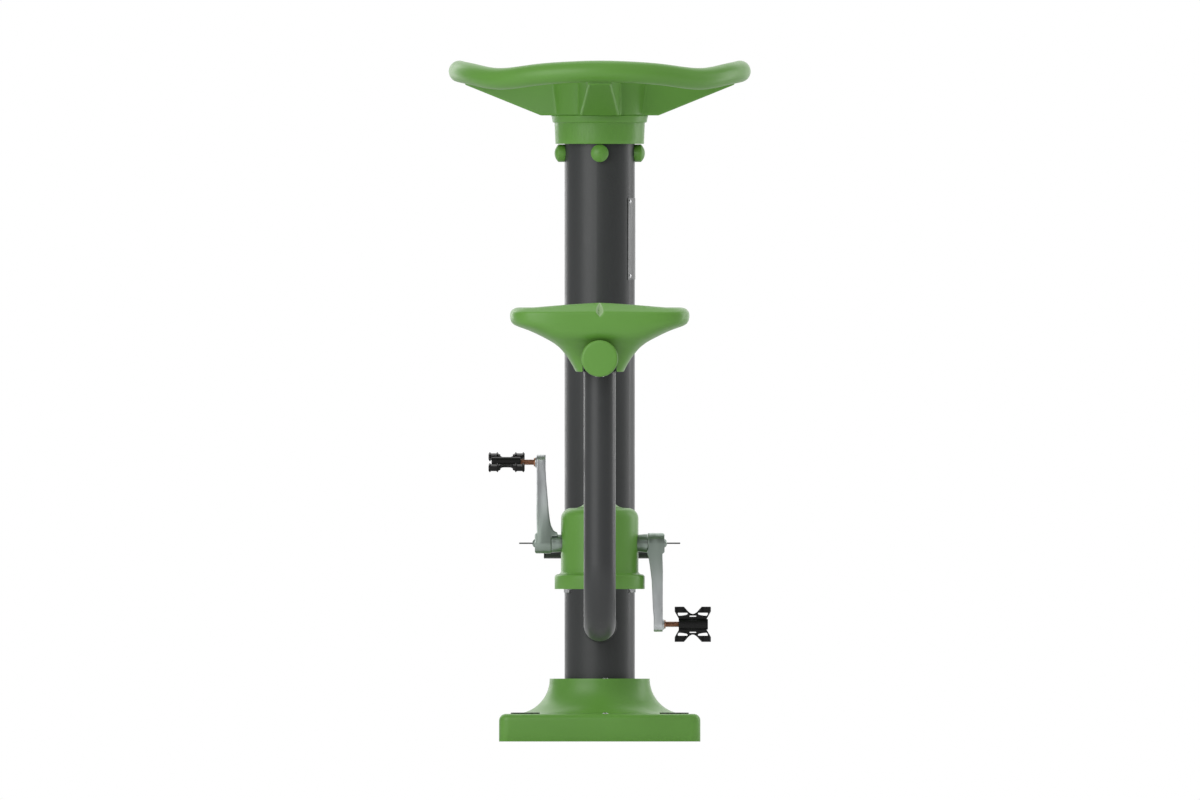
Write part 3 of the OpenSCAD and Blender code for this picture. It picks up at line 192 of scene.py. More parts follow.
def start_finish(name):
    material = bpy.data.materials.new(name)
    material.use_nodes = True
    tree = material.node_tree
    tree.nodes.clear()
    place = Wire.node(tree, "ShaderNodeTexCoord", output=3)
    return material, tree, place


def noise(place, scale, detail, roughness=0.5, stretch=(1, 1, 1)):
    """Noise from 0 to 1, stretched along the axes whose factor is small."""
    spot = place.vector("MULTIPLY", stretch)
    inputs = {"Vector": spot, "Scale": scale, "Detail": detail, "Roughness": roughness}
    return Wire.node(place.tree, "ShaderNodeTexNoise", None, inputs)


def stepped(value, low, high):
    """0 below low, 1 above high, smooth in between."""
    settings = {"interpolation_type": "SMOOTHSTEP"}
    return Wire.node(value.tree, "ShaderNodeMapRange", settings, {0: value, 1: low, 2: high})


def relief(height, distance, strength, normal=None):
    inputs = {"Height": height, "Distance": distance, "Strength": strength}
    if normal:
        inputs["Normal"] = normal
    return Wire.node(height.tree, "ShaderNodeBump", None, inputs)


def end_finish(material, tree, fixed, base, rough, normal=None):
    """Wires go to the sockets that vary, plain values to the fixed ones."""
    inputs = {**fixed, "Base Color": base, "Roughness": rough}
    if normal:
        inputs["Normal"] = normal
    shader = Wire.node(tree, "ShaderNodeBsdfPrincipled", None, inputs)
    Wire.node(tree, "ShaderNodeOutputMaterial", None, {"Surface": shader}, None)
    return material


def proud_edges(tree):
    """1 on the edges that stand proud, read from the mesh's own curvature."""
    curvature = Wire.node(tree, "ShaderNodeNewGeometry", output=7)
    return stepped(curvature, 0.51, 0.56)


def scratches(place, scale, turn):
    """Thin straight lines, few and short: stretched noise cut at its middle value."""
    inputs = {"Vector": place, "Rotation": (turn, turn * 0.6, turn)}
    turned = Wire.node(place.tree, "ShaderNodeMapping", None, inputs)
    lines = noise(turned, scale, 2, 0.5, (1, 0.04, 0.3))
    thin = 1 - stepped(abs(lines - 0.5), 0, 0.006)
    where = stepped(noise(place, 9, 2), 0.55, 0.7)
    return thin * where


print("finish helpers ready")

# %% [markdown]
# Green moulded plastic: dyed polyethylene with a satin skin. Its grain is the mould's own blasted
# texture. The tone drifts slowly over a large piece, and hands and shoes leave faint rubbed
# patches and hair scratches. Edges that stand proud are painted a little paler, partly as rubbed
# wear and partly as a painted highlight. The finish can also take a mask of where to paint a pale
# highlight, as on the flanks of the seat's drain groove.

# %% Green plastic
def green_plastic(name, colour, highlight_mask=None):
    """Satin moulded plastic, with a painted pale highlight where the mask given as its third argument is 1."""
    material, tree, place = start_finish(name)
    tone = noise(place, 7, 4)
    cloud = noise(place, 60, 3)
    grain = noise(place, 900, 2, 0.6)
    rubbed = stepped(noise(place, 16, 5, 0.62), 0.5, 0.72)
    hair = scratches(place, 120, 0.7)
    proud = proud_edges(tree)
    base = colours_mixed(tone, shade(colour, 0.93), shade(colour, 1.08))
    # Painted highlight, partly rubbed wear: proud edges are painted paler.
    base = colours_mixed(proud * 0.35, base, shade(colour, 1.6))
    base = colours_mixed(hair * 0.25, base, shade(colour, 1.6))
    # Painted highlight: where the mask is 1, the plastic is painted towards a pale green.
    if highlight_mask:
        base = colours_mixed(highlight_mask(place) * 0.58, base, shade(groove_highlight_colour, 1))
    rough = 0.36 + cloud * 0.06 + rubbed * 0.05 + hair * 0.1
    fine = relief(grain, 0.00006, 0.5)
    normal = relief(tone * 0.5 + cloud * 0.5, 0.0006, 0.35, fine)
    fixed = {"IOR": 1.5, "Specular IOR Level": 0.5}
    return end_finish(material, tree, fixed, base, rough, normal)


leaf_green = (0.112, 0.288, 0.042)
# Pale green painted on the seat's drain groove as a highlight.
groove_highlight_colour = (0.37, 0.48, 0.30)
green = green_plastic("green_plastic", leaf_green)
print("green plastic ready")

# %% [markdown]
# Powder coat on the steel tubes: anthracite, satin, with the slight orange peel that the baked
# powder flows into. Two bumps make it: a soft one for the peel and a finer one for the texture.
# A few rubbed spots are smoother.

# %% Powder coat
def powder_coat(name, colour):
    material, tree, place = start_finish(name)
    tone = noise(place, 5, 3)
    skin = noise(place, 420, 2, 0.45)
    dust = noise(place, 1500, 1, 0.5)
    rubbed = stepped(noise(place, 22, 5, 0.6), 0.56, 0.75)
    base = colours_mixed(tone, shade(colour, 0.92), shade(colour, 1.1))
    base = colours_mixed(dust * 0.3, base, shade(colour, 1.25))
    rough = 0.34 + tone * 0.05 + dust * 0.05 - rubbed * 0.06
    texture = relief(dust, 0.00003, 0.5)
    peel = relief(skin, 0.00018, 0.4, texture)
    fixed = {"IOR": 1.5, "Specular IOR Level": 0.48}
    return end_finish(material, tree, fixed, base, rough, peel)


anthracite = (0.036, 0.038, 0.039)
coat = powder_coat("powder_coat", anthracite)
print("powder coat ready")

# %% [markdown]
# Bare metals. Zinc plate is bright with cloudy crystals. Cast aluminium is blasted: its light is
# broad, small pits are left by the sand, and shallow swells run along the arm. Round the axle its
# colour is painted darker and greener, as painted shade and a painted reflection of the green
# housing, and its proud edges are painted paler as a highlight. The info plate is rolled sheet:
# fine lines run along it. Copper-coloured thread is plated steel whose roots are painted darker
# as shade and whose crests are painted lighter, and a turning tool leaves rings on it. Stretched
# noise makes the swells and the rolled and turned lines.

# %% Metals
def plated(name, colour, rough_low, cloud_scale=180):
    material, tree, place = start_finish(name)
    cells = {"Vector": place, "Scale": cloud_scale}
    crystals = Wire.node(tree, "ShaderNodeTexVoronoi", {"feature": "SMOOTH_F1"}, cells)
    cloud = noise(place, cloud_scale * 0.4, 4, 0.6)
    fine = noise(place, 2200, 2)
    blend = crystals * 0.4 + cloud * 0.6
    base = colours_mixed(blend, shade(colour, 0.82), shade(colour, 1.12))
    rough = rough_low + cloud * 0.14
    return end_finish(material, tree, {"Metallic": 1.0}, base, rough, relief(fine, 0.00002, 0.5))


def axle_distance(place, axle):
    """How far a point is from an axle along X."""
    _, y, z = place.parts()
    return length(y - axle.y, z - axle.z)


def cast_metal(name, colour, hub_shade_colour, axle):
    """Blasted casting, with painted shade and a painted green reflection round its axle."""
    material, tree, place = start_finish(name)
    painted_hub_shade = 1 - stepped(axle_distance(place, axle), 0.02, 0.13)
    tone = noise(place, 30, 2, 0.5, (1, 1, 0.3))
    sand = noise(place, 620, 2, 0.5)
    pits = stepped(noise(place, 260, 2, 0.5), 0.64, 0.76)
    proud = proud_edges(tree)
    base = colours_mixed(stepped(tone, 0.3, 0.7), shade(colour, 0.76), shade(colour, 1.16))
    # Painted shade and reflection: near the axle the casting is painted darker and greener.
    base = colours_mixed(painted_hub_shade * 0.85, base, shade(hub_shade_colour, 1))
    base = colours_mixed(pits * 0.12, base, shade(colour, 0.7))
    # Painted highlight: proud edges of the casting are painted paler.
    base = colours_mixed(proud * 0.35, base, shade(colour, 1.4))
    rough = 0.3 + sand * 0.04 + pits * 0.04 - proud * 0.05
    swell = noise(place, 55, 0, 0.4, (1, 1, 0.15))
    fine = relief(sand, 0.000008, 0.3)
    normal = relief(swell, 0.0042, 0.5, fine)
    return end_finish(material, tree, {"Metallic": 0.85}, base, rough, normal)


def rolled_sheet(name, colour):
    material, tree, place = start_finish(name)
    lines = noise(place, 1400, 3, 0.6, (1, 1, 0.02))
    cloud = noise(place, 24, 4, 0.6)
    hair = scratches(place, 160, 1.1)
    base = colours_mixed(lines * 0.7 + cloud * 0.3, shade(colour, 0.85), shade(colour, 1.15))
    rough = 0.34 + lines * 0.1 + cloud * 0.08 + hair * 0.1
    return end_finish(material, tree, {"Metallic": 0.9}, base, rough, relief(lines, 0.00003, 0.6))


def turned_metal(name, colour, axle, root_radius, crest_radius):
    """Metal turned about its axle, with painted shade in the roots of its thread and painted lighter crests."""
    material, tree, place = start_finish(name)
    height = stepped(axle_distance(place, axle), root_radius, crest_radius)
    rings = noise(place, 2600, 2, 0.6, (1, 0.03, 0.03))
    cloud = noise(place, 260, 3)
    # Painted shade and light: the thread is painted darker in its roots and lighter on its crests.
    base = colours_mixed(height, shade(colour, 0.45), shade(colour, 1.1))
    base = colours_mixed(cloud * 0.3, base, shade(colour, 0.75))
    rough = 0.5 - height * 0.18 + rings * 0.08
    return end_finish(material, tree, {"Metallic": 0.9}, base, rough, relief(rings, 0.00002, 0.5))


zinc_tone, bronze_tone, sheet_tone = (0.78, 0.79, 0.80), (0.45, 0.30, 0.14), (0.175, 0.177, 0.177)
# The second colour below is the casting's painted shade near the axle, tinted as a painted reflection of the green
# housing.
cast_tone, cast_hub_shade_colour, copper_tone = (0.58, 0.605, 0.615), (0.28, 0.35, 0.295), (0.46, 0.24, 0.15)
zinc = plated("zinc_plate", zinc_tone, 0.24)
bronze = plated("sintered_bronze", bronze_tone, 0.35, 900)
cast = cast_metal("cast_aluminium", cast_tone, cast_hub_shade_colour, joint_place["crank_spin"])
sheet = rolled_sheet("rolled_aluminium", sheet_tone)
print("metals ready")

# %% [markdown]
# Black parts. The pedals are nylon filled with glass fibre: deep black, with short pale fibres
# that drift with the flow in the mould. Rubber is duller and has no fibres. The friction lining
# is pressed from crumbs, so its colour is speckled.

# %% Black plastics and rubber
def glass_filled_nylon(name, colour):
    material, tree, place = start_finish(name)
    fibres = noise(place, 900, 3, 0.6, (0.15, 1, 1))
    cloud = noise(place, 30, 4)
    grain = noise(place, 1100, 2, 0.6)
    pale = stepped(fibres, 0.58, 0.75)
    base = colours_mixed(cloud, shade(colour, 0.8), shade(colour, 1.25))
    base = colours_mixed(pale * 0.35, base, shade(fibre_tone, 1))
    rough = 0.34 + cloud * 0.1 + pale * 0.1
    fixed = {"IOR": 1.5, "Specular IOR Level": 0.3}
    return end_finish(material, tree, fixed, base, rough, relief(grain, 0.00008, 0.6))


def crumbed(name, colour, scale, rough_low):
    material, tree, place = start_finish(name)
    cells = {"Vector": place, "Scale": scale}
    crumbs = Wire.node(tree, "ShaderNodeTexVoronoi", None, cells, 1)
    tone = noise(place, scale, 3)
    value = stepped(crumbs.parts()[0], 0.2, 0.9)
    base = colours_mixed(value, shade(colour, 0.7), shade(colour, 1.4))
    rough = rough_low + tone * 0.15
    return end_finish(material, tree, {"IOR": 1.5}, base, rough, relief(tone, 0.0001, 0.6))


fibre_tone, nylon_tone = (0.03, 0.03, 0.03), (0.004, 0.004, 0.004)
rubber_tone, lining_tone = (0.014, 0.014, 0.014), (0.035, 0.031, 0.028)
nylon = glass_filled_nylon("black_nylon", nylon_tone)
rubber = crumbed("black_rubber", rubber_tone, 700, 0.6)
lining = crumbed("brake_lining", lining_tone, 500, 0.7)
print("black parts ready")

# %% [markdown]
# Slots. The record names a finish for each solid. The solids keep their shape here, so each gets
# its finish in its material slot, whether it shows from outside or only when the drive is open.

# %% Finish of each solid
finish_of_slot = {
    "green_plastic": green,
    "dark_steel": coat,
    "zinc_steel": zinc,
    "cast_aluminium": cast,
    "plate_aluminium": sheet,
    "black_plastic": nylon,
    "black_rubber": rubber,
    "brake_lining": lining,
    "copper_steel": zinc,        # both of its solids are replaced by threaded ones
    "bronze": bronze,
}
slot_of_node = {p["node"]: p["material_slot"] for p in frame["record"]["subparts"]}
for node_name, solid in frame["nodes"].items():
    solid.data.materials.clear()
    solid.data.materials.append(finish_of_slot[slot_of_node[node_name]])
print("finishes on", len(frame["nodes"]), "solids")

# %% [markdown]
# Geometry Nodes, built in the script. A tree gets named inputs for its sizes. The helper below
# puts it on a mesh as a modifier, sets each input by its socket's identifier before anything is
# evaluated, then keeps the result as a plain mesh with no modifier left.

# %% Geometry tree helpers
def new_tree(name, sizes):
    """A geometry tree with one float input per name, a material input and one output."""
    tree = bpy.data.node_groups.new(name, "GeometryNodeTree")
    sockets = [("Geometry", "INPUT", "Geometry"), *[(size, "INPUT", "Float") for size in sizes],
               ("Material", "INPUT", "Material"), ("Geometry", "OUTPUT", "Geometry")]
    for label, in_out, kind in sockets:
        tree.interface.new_socket(label, in_out=in_out, socket_type="NodeSocket" + kind)
    source = tree.nodes.new("NodeGroupInput")
    return tree, {socket.name: Wire(socket) for socket in source.outputs if socket.name}


def close_tree(tree, geometry, material, smooth=True):
    """Realize Instances and Set Material come last, because an export drops instances."""
    real = Wire.node(tree, "GeometryNodeRealizeInstances", None, {"Geometry": geometry})
    shaded = Wire.node(tree, "GeometryNodeSetShadeSmooth", None,
                       {"Geometry": real, "Shade Smooth": smooth})
    painted = Wire.node(tree, "GeometryNodeSetMaterial", None,
                        {"Geometry": shaded, "Material": material})
    Wire.node(tree, "NodeGroupOutput", None, {"Geometry": painted}, None)


def kept_plain(piece):
    """The modifiers' result becomes the piece's own mesh."""
    graph = bpy.context.evaluated_depsgraph_get()
    plain = bpy.data.meshes.new_from_object(piece.evaluated_get(graph))
    plain.name = piece.name
    piece.modifiers.clear()
    piece.data = plain
    print(piece.name, "has", len(plain.polygons), "faces")


def grown(tree, name, sizes, material, seed_mesh=None):
    """The tree's result on a seed mesh, as a piece with a plain mesh."""
    piece = placed(name, seed_mesh or bpy.data.meshes.new(name + "_seed"))
    modifier = piece.modifiers.new("grow", "NODES")
    modifier.node_group = tree
    values = {**sizes, "Material": material}
    for item in tree.interface.items_tree:
        if item.in_out == "INPUT" and item.name in values:
            modifier[item.identifier] = values[item.name]
    kept_plain(piece)
    return piece


def settle(piece, body, slot_name, *nodes):
    """The piece rides on its body, takes its slot and stands for the solids it replaces."""
    if not piece.data.materials:
        piece.data.materials.append(finish_of_slot[slot_name])
    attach(piece, body)
    if nodes:
        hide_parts(*nodes)


print("geometry tree helpers ready")

# %% [markdown]
# The hand wheel is one hollow moulding: a round rim that rises and falls four times, a drum hub
# and four wedge arms. Sculpting or joining meshes would leave hard creases where they meet. As
# its shape follows rules, a distance formula fits better: it says for any point how far it is
# from the skin. The rim's wave is a sum of three cosines, which make its crests flat and its
# valleys narrow. Smooth least and most values blend the parts with the small radii that a mould
# has. A volume holds the formula, Volume to Mesh draws its skin, and each vertex is then moved
# onto the exact zero of the same formula.

# %% Hand wheel sizes
wheel_low, wheel_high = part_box("handle_wheel")
wheel_sizes = {
    "Wheel Radius": wheel_high.x, "Underside": wheel_low.z, "Top": wheel_high.z,
    "Rim Radius": 0.0215, "Rim Wave": 0.0074, "Crest Share": 0.18, "Valley Share": 0.06,
    "Hub Radius": 0.094, "Hub Top Radius": 0.100, "Hub Height": 0.086, "Draft Share": 0.7,
    "Arm Root Width": 0.084, "Arm Tip Width": 0.046, "Arm Overlap": 0.014, "Arm Drop": 0.005,
    "Arm Flat": 0.023, "Bore Radius": 0.066, "Bore Depth": 0.066, "Recess Radius": 0.0882,
    "Recess Floor": 0.076, "Edge Blend": 0.0045, "Top Blend": 0.004, "Joint Blend": 0.005,
}
wheel_step = 0.00268
under_slope_cosine = 0.94


def eased_most(first, second, blend):
    return first.math("SMOOTH_MAX", second, blend)


def eased_least(first, second, blend):
    return first.math("SMOOTH_MIN", second, blend)


# %% Hand wheel formula
def rim_distance(size, radius, turn, z):
    path_radius = size["Wheel Radius"] - size["Rim Radius"]
    crest = size["Top"] - size["Rim Radius"] - size["Rim Wave"]
    once, twice, thrice = ((turn * (4 * k)).math("COSINE") for k in (1, 2, 3))
    swing = once + size["Crest Share"] * (1 - twice) + size["Valley Share"] * (thrice - once)
    middle = crest + size["Rim Wave"] * swing
    return length(radius - path_radius, z - middle) - size["Rim Radius"]


def hub_distance(size, radius, z):
    top = size["Underside"] + size["Hub Height"]
    climb = ((z - size["Underside"]) / (size["Hub Height"] * size["Draft Share"])).math("MINIMUM", 1)
    wall = size["Hub Radius"] + (size["Hub Top Radius"] - size["Hub Radius"]) * climb
    drum = eased_most(radius - wall, z - top, size["Edge Blend"] * 2)
    return drum.math("MAXIMUM", size["Underside"] - z)


def arm_distance(size, x, y, z):
    """All four arms at once: the point is folded onto one arm along its length."""
    along = abs(x).math("MAXIMUM", abs(y))
    across = abs(x).math("MINIMUM", abs(y))
    root = size["Hub Radius"] - size["Arm Overlap"]
    tip = size["Wheel Radius"] - size["Rim Radius"] * 1.5
    share = (along - root) / (tip - root)
    width = size["Arm Root Width"] + (size["Arm Tip Width"] - size["Arm Root Width"]) * share
    side = across - width * 0.5
    flat_end = size["Hub Radius"] + size["Arm Flat"]
    tip_low = size["Top"] - size["Rim Radius"] * 2 - size["Arm Drop"]
    slope = (tip_low - size["Underside"]) / (tip - flat_end)
    flat = size["Underside"] - z
    slant = (size["Underside"] + (along - flat_end) * slope - z) * under_slope_cosine
    hub_top = size["Underside"] + size["Hub Height"] - size["Arm Drop"]
    tip_top = size["Top"] - size["Rim Radius"] * 0.667
    over = z - (hub_top + (tip_top - hub_top) * share)
    heights = eased_most(flat.math("MAXIMUM", slant), over, size["Top Blend"])
    ends = (along - tip).math("MAXIMUM", root - along)
    return eased_most(side, heights, size["Edge Blend"]).math("MAXIMUM", ends)


def wheel_distance(size, place):
    x, y, z = place.parts()
    radius = length(x, y)
    turn = y.math("ARCTAN2", x)
    solid = eased_least(hub_distance(size, radius, z), arm_distance(size, x, y, z),
                        size["Joint Blend"])
    solid = eased_least(solid, rim_distance(size, radius, turn, z), size["Joint Blend"])
    height = z - size["Underside"]
    bore = (radius - size["Bore Radius"]).math("MAXIMUM", height - size["Bore Depth"])
    recess = (radius - size["Recess Radius"]).math("MAXIMUM", size["Recess Floor"] - height)
    return solid.math("MAXIMUM", -bore.math("MINIMUM", recess))


# %% Hand wheel
def skin_of(tree, distance, low, high, step):
    """The zero skin of a distance wire inside the box from low to high, moved onto it twice."""
    counts = [max(2, round((h - l) / step) + 1) for l, h in zip(low, high)]
    inputs = {"Density": -distance, "Background": -1.0, "Min": tuple(low), "Max": tuple(high),
              "Resolution X": counts[0], "Resolution Y": counts[1], "Resolution Z": counts[2]}
    volume = Wire.node(tree, "GeometryNodeVolumeCube", None, inputs)
    skin = Wire.node(tree, "GeometryNodeVolumeToMesh", {"resolution_mode": "GRID"},
                     {"Volume": volume, "Threshold": 0.0})
    outward = Wire.node(tree, "GeometryNodeInputNormal")
    for _ in range(2):
        shift = outward.vector("SCALE")
        tree.links.new((-distance).socket, shift.socket.node.inputs["Scale"])
        skin = Wire.node(tree, "GeometryNodeSetPosition", None, {"Geometry": skin, "Offset": shift})
    return skin


wheel_tree, wheel_input = new_tree("hand_wheel", wheel_sizes)
wheel_place = Wire.node(wheel_tree, "GeometryNodeInputPosition")
wheel_margin = Vector((3 * wheel_step,) * 3)        # room for the skin inside the volume's box
wheel_skin = skin_of(wheel_tree, wheel_distance(wheel_input, wheel_place),
                     wheel_low - wheel_margin, wheel_high + wheel_margin, wheel_step)
close_tree(wheel_tree, wheel_skin, wheel_input["Material"])
wheel = grown(wheel_tree, "hand_wheel", wheel_sizes, green)
settle(wheel, "frame", "green_plastic", "handle_wheel")

# %% [markdown]
# The seat is a hollow moulding lofted through rings. Each row of the table gives one ring: its
# height, its half width, how far it reaches back and forward, and how much of the crown it takes.
# The crown is the rear rim's low peak. A curve through the rows gives many rings between them,
# which keeps the dish and the rim smooth.
# Subdividing the solid's facets would round the drain groove away; cutting the groove and the
# rail's channel after the loft keeps them. A remesh then gives the cut edges a moulded softness.

# %% Seat sizes
seat_low, seat_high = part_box("seat_shell")
seat_middle = (seat_low.y + seat_high.y) / 2
seat_foot = seat_low.z
seat_height = 0.1374
seat_half = (0.17835, 0.150)        # across and along
foot_half = (0.0475, 0.096)
crown_rise, crown_half, crown_power = 0.0090, 0.735 * seat_half[0], 1.25
front_fall, front_taper = 0.014, 0.035
seat_rows = np.array([
    [0.000, 0.000, 0.000, 0.000, 0], [0.075, 0.040, 0.030, 0.030, 0],
    [0.152, 0.087, 0.090, 0.080, 0], [0.222, 0.135, 0.190, 0.150, 0],
    [0.280, 0.183, 0.310, 0.230, 0], [0.337, 0.235, 0.440, 0.320, 0],
    [0.373, 0.277, 0.540, 0.400, 0], [0.431, 0.360, 0.690, 0.530, 0],
    [0.488, 0.471, 0.860, 0.670, 0], [0.547, 0.594, 0.950, 0.790, 0],
    [0.604, 0.730, 0.982, 0.880, 0], [0.662, 0.898, 0.995, 0.950, 0],
    [0.702, 0.964, 1.000, 0.980, 0], [0.753, 0.992, 1.000, 0.995, 0],
    [0.811, 1.000, 1.000, 1.000, 0], [0.846, 0.998, 0.998, 0.995, 0],
    [0.866, 0.990, 0.955, 0.980, 0.10], [0.897, 0.965, 0.790, 0.955, 0.25],
    [0.922, 0.921, 0.580, 0.910, 0.55], [0.932, 0.850, 0.330, 0.850, 1],
    [0.925, 0.740, 0.100, 0.750, 0.9], [0.885, 0.560, -0.180, 0.580, 0.5],
    [0.850, 0.330, -0.420, 0.360, 0.1], [0.836, 0.080, -0.620, 0.100, 0]])


# %% Seat loft
def rows_between(rows, steps):
    """A smooth curve through the rows, with some rows added between each two."""
    ends = np.vstack([2 * rows[0] - rows[1], rows, 2 * rows[-1] - rows[-2]])
    t = np.linspace(0, 1, steps, endpoint=False)[:, None]
    made = []
    for k in range(1, len(ends) - 2):
        a, b, c, d = ends[k - 1:k + 3]
        bend = 2 * a - 5 * b + 4 * c - d + t * (3 * b - a - 3 * c + d)
        made.append(b + 0.5 * t * (c - a + t * bend))
    return np.vstack(made + [rows[-1:]])


def seat_ring(row, count):
    """One ring: a squared-off ellipse, narrower in front, with the crown and the front's fall."""
    height, wide, back, fore, crown = row
    power = 0.32 + 0.10 * wide
    turn = np.linspace(0, 2 * np.pi, count, endpoint=False)
    c, s = np.cos(turn), np.sin(turn)
    c, s = (np.sign(v) * np.abs(v) ** (1 / power) for v in (c, s))
    size = np.hypot(c, s)
    across, along = (np.sign(v) * (np.abs(v) / size) ** power for v in (c, s))
    ahead, behind = np.maximum(0, along), np.maximum(0, -along)
    half_width = foot_half[0] + (seat_half[0] - foot_half[0]) * wide
    reach = np.where(along < 0, back, fore)
    x = across * (half_width - ahead ** 2 * front_taper * wide)
    y = along * (foot_half[1] + (seat_half[1] - foot_half[1]) * reach)
    share = np.minimum(1, np.abs(x) / crown_half)
    rise = crown_rise * behind * (1 - share ** crown_power) - front_fall * ahead ** 2
    z = seat_foot + height * seat_height + crown * rise
    return np.column_stack([x, seat_middle + y, z])


def lofted(name, rings):
    """A closed skin over rings of equal length."""
    count = len(rings[0])
    faces = [list(range(count))[::-1]]
    for k in range(len(rings) - 1):
        for j in range(count):
            after = (j + 1) % count
            faces.append((k * count + j, k * count + after,
                          (k + 1) * count + after, (k + 1) * count + j))
    faces.append([(len(rings) - 1) * count + j for j in range(count)])
    mesh = bpy.data.meshes.new(name)
    mesh.from_pydata(np.vstack(rings).tolist(), [], faces)
    return placed(name, mesh)


def cut_away(piece, *tools):
    for tool in tools:
        cut = piece.modifiers.new(tool.name, "BOOLEAN")
        cut.operation = "DIFFERENCE"
        cut.object = tool
    kept_plain(piece)
    for tool in tools:
        bpy.data.objects.remove(tool)


def remeshed(piece, step, rounds):
    """An even skin whose edges are rounded by smoothing."""
    skin = piece.modifiers.new("skin", "REMESH")
    skin.mode = "VOXEL"
    skin.voxel_size = step
    soft = piece.modifiers.new("soft", "SMOOTH")
    soft.factor = 0.5
    soft.iterations = rounds
    kept_plain(piece)
    piece.data.shade_smooth()
    return piece


# %% Seat
rail_z, channel_half, channel_radius = 0.761, 0.03315, 0.03195
tool_excess = 0.1        # how far a tool reaches past the seat


def rail_channel_tool():
    """The rail's round bed, open downwards."""
    low_z = seat_foot - 0.01
    arc = [(channel_radius * math.cos(a), rail_z + channel_radius * math.sin(a))
           for a in np.linspace(0, math.pi, 65)]
    outline = [(channel_half, low_z), (channel_half, rail_z), *arc,
               (-channel_half, rail_z), (-channel_half, low_z)]
    runs = (seat_high.y + tool_excess, seat_low.y - tool_excess)
    return lofted("rail_channel", [[(x, y, z) for x, z in outline] for y in runs])


groove_length, groove_half, groove_height = 0.038, 0.033, 0.030
groove_end_z = seat_foot + 0.797 * seat_height
groove_start = Vector((0, seat_low.y + groove_length, seat_high.z + 0.001))
groove_slope = math.atan2(groove_start.z - groove_end_z, groove_length)
groove_down = Vector((0, -math.cos(groove_slope), -math.sin(groove_slope)))
groove_up = Vector((0, -math.sin(groove_slope), math.cos(groove_slope)))


def drain_groove_tool():
    """A V that rises from the rear edge to the crest of the rim."""
    corners = [(-groove_half, groove_height), (0, 0), (groove_half, groove_height)]
    runs = (0, groove_length / math.cos(groove_slope) + 0.015)
    return lofted("drain_groove", [[groove_start + Vector((x, 0, 0)) + groove_up * v + groove_down * t
                                    for x, v in corners] for t in runs])


def groove_painted_highlight(place):
    """1 on the groove's two flanks, where the seat's finish paints a pale highlight."""
    x, y, z = place.parts()
    height = (y - groove_start.y) * groove_up.y + (z - groove_start.z) * groove_up.z
    over = height - abs(x) * (groove_height / groove_half)
    return (1 - stepped(abs(over), 0.0002, 0.0014)) * (1 - stepped(abs(x), 0.006, 0.010))


seat_sides, rings_per_row, seat_step, seat_rounds = 168, 5, 0.0019, 4
rings = [seat_ring(row, seat_sides) for row in rows_between(seat_rows, rings_per_row)]
seat = lofted("seat", rings)
cut_away(seat, rail_channel_tool(), drain_groove_tool())
remeshed(seat, seat_step, seat_rounds)
# The seat's finish paints a pale highlight on the drain groove's flanks.
seat.data.materials.append(green_plastic("green_plastic_seat", leaf_green, groove_painted_highlight))
settle(seat, "frame", "green_plastic", "seat_shell")

# %% [markdown]
# Cast cranks and moulded pedals. A casting has no sharp edge anywhere; a pedal's treads have small
# rounded lips. The solids are exact, so their copies get an even net of small faces that is then
# smoothed: many rounds for the castings, two for the pedals. Bevels would do for the long edges,
# but not where the boss runs into the arm, nor between treads and struts.

# %% Cranks and pedals
def merged_copy(name, node_name):
    """The solid's own faces as a new mesh at rest, with their shared corners joined."""
    solid = frame["nodes"][node_name]
    copy = solid.data.copy()
    copy.transform(solid.matrix_world)
    work = bmesh.new()
    work.from_mesh(copy)
    bpy.data.meshes.remove(copy)
    bmesh.ops.remove_doubles(work, verts=work.verts, dist=0.000002)
    mesh = bpy.data.meshes.new(name)
    work.to_mesh(mesh)
    work.free()
    return placed(name, mesh)


skin_step = 0.0007
skin_rounds = {"crank_left": 14, "crank_right": 14, "pedal_body_left": 2, "pedal_body_right": 2}
for node_name, rounds in skin_rounds.items():
    skin = remeshed(merged_copy("skin_" + node_name, node_name), skin_step, rounds)
    skin.data.materials.clear()
    settle(skin, node_body[node_name], slot_of_node[node_name], node_name)

# %% [markdown]
# Moulded and turned pieces with soft edges. A copy of each solid gets a small bevel where two
# faces meet at an angle, and its normals follow the flat faces, so that only the edge itself
# catches light. A bevel in the shader is the other way, but it doesn't reach an exported mesh.

# %% Soft edges
edge_radii = {
    "base_cover": 0.0016, "anchor_plugs": 0.0009, "hub_collar": 0.0014, "bolt_caps": 0.0012,
    "hub_cap": 0.001, "rail_caps": 0.001, "cross_tube_caps": 0.0008, "drive_housing": 0.0012,
    "housing_plug": 0.001, "drive_plate": 0.0008, "sleeve_left": 0.0003, "sleeve_right": 0.0003,
    "crank_bolt_left": 0.0005, "crank_bolt_right": 0.0005, "spindle_nut_left": 0.0005,
    "spindle_nut_right": 0.0005, "pedal_cap_left": 0.0004, "pedal_cap_right": 0.0004,
    "seat_bolts": 0.0005, "info_plate": 0.0002,
}


def flat_faces_joined(piece):
    """Triangles that lie in one plane become one face, so that a bevel finds true edges only."""
    work = bmesh.new()
    work.from_mesh(piece.data)
    bmesh.ops.dissolve_limit(work, angle_limit=math.radians(0.3), verts=work.verts,
                             edges=work.edges)
    work.to_mesh(piece.data)
    work.free()


def softened(node_name, radius):
    piece = merged_copy("soft_" + node_name, node_name)
    flat_faces_joined(piece)
    piece.data.shade_smooth()
    bevel = piece.modifiers.new("soft_edges", "BEVEL")
    bevel.width = radius
    bevel.segments = 3
    bevel.limit_method = "ANGLE"
    bevel.angle_limit = math.radians(32)
    bevel.miter_outer = "MITER_ARC"
    bevel.harden_normals = True
    kept_plain(piece)
    piece.data.materials.clear()
    settle(piece, node_body[node_name], slot_of_node[node_name], node_name)


